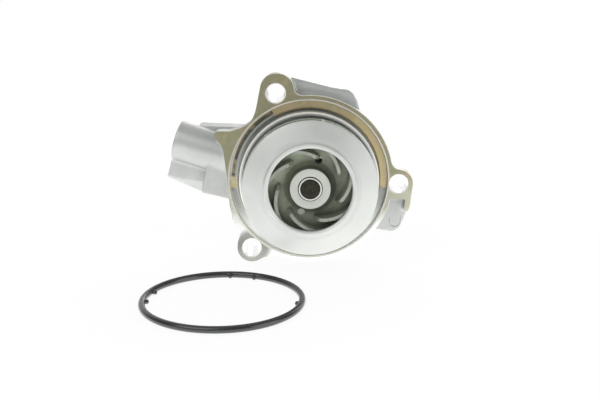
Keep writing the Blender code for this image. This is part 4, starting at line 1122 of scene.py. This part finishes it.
# ====================================================================== pulley
def tooth_outline(grow=0.0):
    """Round-groove belt teeth with softened tips."""
    teeth = 23
    pts = []
    step = 360.0 / teeth
    for i in range(teeth):
        for part, drop in ((0.00, 0.0), (0.10, 0.0), (0.20, 0.0), (0.30, 0.02), (0.345, 0.25), (0.385, 0.85),
                           (0.43, 1.75), (0.49, 2.5), (0.56, 2.9), (0.65, 3.0), (0.74, 2.9), (0.81, 2.5),
                           (0.87, 1.75), (0.915, 0.85), (0.955, 0.25)):
            pts.append(polar(28.6 - drop - grow, (i + part) * step))
    return pts


bm = bmesh.new()
rows = []
for d, g in ((36.0, 0.45), (36.12, 0.15), (36.45, 0.0), (56.05, 0.0), (56.38, 0.15), (56.5, 0.45)):
    rows.append([bm.verts.new((x, -z, d)) for x, z in tooth_outline(g)])
m = len(rows[0])
for a, b in zip(rows, rows[1:]):
    for k in range(m):
        j = (k + 1) % m
        bm.faces.new((a[k], a[j], b[j], b[k]))
bm.faces.new(rows[0])
bm.faces.new(rows[-1])
pulley = from_bm("toothed_pulley", bm)
combine(pulley, [
    lathe("c_cav", soft([(0, 33.0), (23.4, 33.0), (23.4, 50.5, 1.2), (21.5, 52.5, 1.2), (13.0, 52.5, 0.8), (12.0, 51.5, 0.6),
                         (8.25, 51.5), (8.25, 62.5), (0, 62.5)], 0.1), steps=144),
    lathe("c_dish", soft([(22.6, 55.5 - 0.2), (22.6, 59.5), (12.3, 59.5), (12.3, 55.3)], 0.5), steps=144),
])
dress(pulley, "pulley", "rotor", "belt_pulley")

# ============================================================ loose flange seal
RING_R, RING_WIRE = 34.8, 1.55
RING = Matrix.Translation((-39.4 * MM, FACE - 60.4 * MM, FLOOR + RING_WIRE * MM))
ringp = [(RING_R + RING_WIRE * math.cos(2 * math.pi * k / 24), RING_WIRE * math.sin(2 * math.pi * k / 24)) for k in range(24)]
ring = lathe("flange_gasket_ring", ringp, RING, 200)
nubs = [ball("nub%d" % i, 1.10, (*polar(RING_R - RING_WIRE - 0.35, a), -0.3), RING, 16)
        for i, a in enumerate((88, 67.5, 182.5, 161, 276, 255, 351.6))]
combine(ring, nubs, "UNION")
voxel(ring, 0.22, 4, 0.5)
dress(ring, "rubber", "flange_seal", "flange_seal_ring")

# ================================================================ set and light
SHADOW_SHARE, SKY = 0.12, 0.60
floor_bm = bmesh.new()
bmesh.ops.create_grid(floor_bm, x_segments=1, y_segments=1, size=3.0)
for v in floor_bm.verts:
    v.co.z = FLOOR
floor_me = bpy.data.meshes.new("studio_floor")
floor_bm.to_mesh(floor_me)
floor_bm.free()
floor = bpy.data.objects.new("studio_floor", floor_me)
link(floor)
fm = bpy.data.materials.new("studio_paper")
fm.use_nodes = True
t = fm.node_tree
t.nodes.clear()


def emitter(tree, strength, colour=(1, 1, 1, 1)):
    n = tree.nodes.new("ShaderNodeEmission")
    n.inputs[0].default_value = colour
    n.inputs[1].default_value = strength
    return n.outputs[0]


def blend_shader(tree, fac, a, b):
    n = tree.nodes.new("ShaderNodeMixShader")
    for socket, value in zip(n.inputs, (fac, a, b)):
        if isinstance(value, bpy.types.NodeSocket):
            tree.links.new(value, socket)
        else:
            socket.default_value = value
    return n.outputs[0]


o_ = t.nodes.new("ShaderNodeOutputMaterial")
df = t.nodes.new("ShaderNodeBsdfDiffuse")
df.inputs[0].default_value = (0.88, 0.88, 0.88, 1)
where = t.nodes.new("ShaderNodeTexCoord")
far = t.nodes.new("ShaderNodeVectorMath")
far.operation = "DISTANCE"
t.links.new(where.outputs["Object"], far.inputs[0])
far.inputs[1].default_value = (-0.02, FACE, FLOOR)
near = t.nodes.new("ShaderNodeMapRange")
for k, v in (("From Min", 0.10), ("From Max", 0.30), ("To Min", SHADOW_SHARE), ("To Max", 0.0)):
    near.inputs[k].default_value = v
t.links.new(far.outputs["Value"], near.inputs["Value"])
seen = blend_shader(t, near.outputs[0], emitter(t, 1.035), df.outputs[0])
path = t.nodes.new("ShaderNodeLightPath")
# painted light: for all but camera rays the table top glows, brightest under the object, to light the object from below
glow = t.nodes.new("ShaderNodeMapRange")          # the lit table top, brightest under the object
for k, v in (("From Min", 0.12), ("From Max", 0.95), ("To Min", 1.60), ("To Max", 0.60)):
    glow.inputs[k].default_value = v
t.links.new(far.outputs["Value"], glow.inputs["Value"])
shine = t.nodes.new("ShaderNodeEmission")
t.links.new(glow.outputs[0], shine.inputs[1])
t.links.new(blend_shader(t, path.outputs["Is Camera Ray"], shine.outputs[0], seen), o_.inputs[0])
floor_me.materials.append(fm)

world = bpy.data.worlds.new("studio")
scene.world = world
world.use_nodes = True
t = world.node_tree
t.nodes.clear()
wo = t.nodes.new("ShaderNodeOutputWorld")
bg_cam = t.nodes.new("ShaderNodeBackground")
bg_cam.inputs[0].default_value = (1, 1, 1, 1)
bg_env = t.nodes.new("ShaderNodeBackground")
mx = t.nodes.new("ShaderNodeMixShader")
lp = t.nodes.new("ShaderNodeLightPath")
tc = t.nodes.new("ShaderNodeTexCoord")
sep = t.nodes.new("ShaderNodeSeparateXYZ")
cr = t.nodes.new("ShaderNodeValToRGB")
mr = t.nodes.new("ShaderNodeMapRange")
mr.inputs["From Min"].default_value = -1.0
e = cr.color_ramp.elements
e[0].position, e[0].color = 0.0, (0.80, 0.81, 0.82, 1)
e[1].position, e[1].color = 1.0, (0.62, 0.62, 0.62, 1)
for pos, v in ((0.46, 0.70), (0.52, 0.34), (0.66, 0.42), (0.80, 0.56)):
    el = e.new(pos)
    el.color = (v, v, v, 1)
t.links.new(tc.outputs["Generated"], sep.inputs[0])
t.links.new(sep.outputs[2], mr.inputs["Value"])
t.links.new(mr.outputs[0], cr.inputs[0])
# a white backdrop behind the object, as far as light and reflections go
back = t.nodes.new("ShaderNodeMapRange")
back.inputs["From Min"].default_value, back.inputs["From Max"].default_value = 0.25, 0.70
t.links.new(sep.outputs[1], back.inputs["Value"])
bright = t.nodes.new("ShaderNodeMix")
bright.data_type = "RGBA"
t.links.new(back.outputs[0], bright.inputs[0])
t.links.new(cr.outputs[0], bright.inputs[6])
bright.inputs[7].default_value = (1.6, 1.6, 1.6, 1)
t.links.new(bright.outputs[2], bg_env.inputs[0])
bg_env.inputs[1].default_value = SKY
t.links.new(lp.outputs["Is Camera Ray"], mx.inputs[0])
t.links.new(bg_env.outputs[0], mx.inputs[1])
t.links.new(bg_cam.outputs[0], mx.inputs[2])
t.links.new(mx.outputs[0], wo.inputs[0])


def softbox(name, place, target, size, power, colour=(1, 1, 1)):
    lt = bpy.data.lights.new(name, "AREA")
    lt.shape = "RECTANGLE"
    lt.size, lt.size_y = size
    lt.energy = power
    lt.color = colour
    o = bpy.data.objects.new(name, lt)
    o.location = place
    o.rotation_euler = (Vector(target) - Vector(place)).to_track_quat("-Z", "Y").to_euler()
    o.visible_camera = False
    link(o)
    return o


mid = (0.0, FACE, 0.0)
softbox("key", (-0.45, FACE - 0.55, 0.60), mid, (0.7, 0.7), 2.6)
softbox("fill", (0.75, FACE - 0.45, 0.15), mid, (0.6, 0.8), 2.6)
softbox("top", (0.05, FACE + 0.15, 0.9), mid, (0.9, 0.7), 0.45)
softbox("rear", (0.35, FACE + 0.9, 0.45), mid, (0.8, 0.5), 3.2)

# ====================================================================== camera
cam_data = bpy.data.cameras.new("photo_camera")
cam_data.sensor_width = 36.0
cam_data.lens = 48.0
cam_data.clip_start, cam_data.clip_end = 0.01, 20.0
cam = bpy.data.objects.new("photo_camera", cam_data)
link(cam)
scene.camera = cam
eye = Vector((-0.01163, FACE - 0.3918, 0.07975))
want = ((308.95 - 300) / 800.0, (200 - 180.07) / 800.0)
yaw = pitch = 0.0
aim = Vector((0, FACE, 0)) - eye
for _ in range(40):
    fwd = Vector((math.sin(yaw) * math.cos(pitch), math.cos(yaw) * math.cos(pitch), math.sin(pitch)))
    right = fwd.cross(Vector((0, 0, 1))).normalized()
    upv = right.cross(fwd)
    zz = aim.dot(fwd)
    px, py = aim.dot(right) / zz, aim.dot(upv) / zz
    yaw += px - want[0]
    pitch += py - want[1]
rot = Matrix((right, upv, -fwd)).transposed()
cam.matrix_world = Matrix.Translation(eye) @ rot.to_4x4()

scene.view_settings.view_transform = "Standard"
scene.view_settings.look = "None"
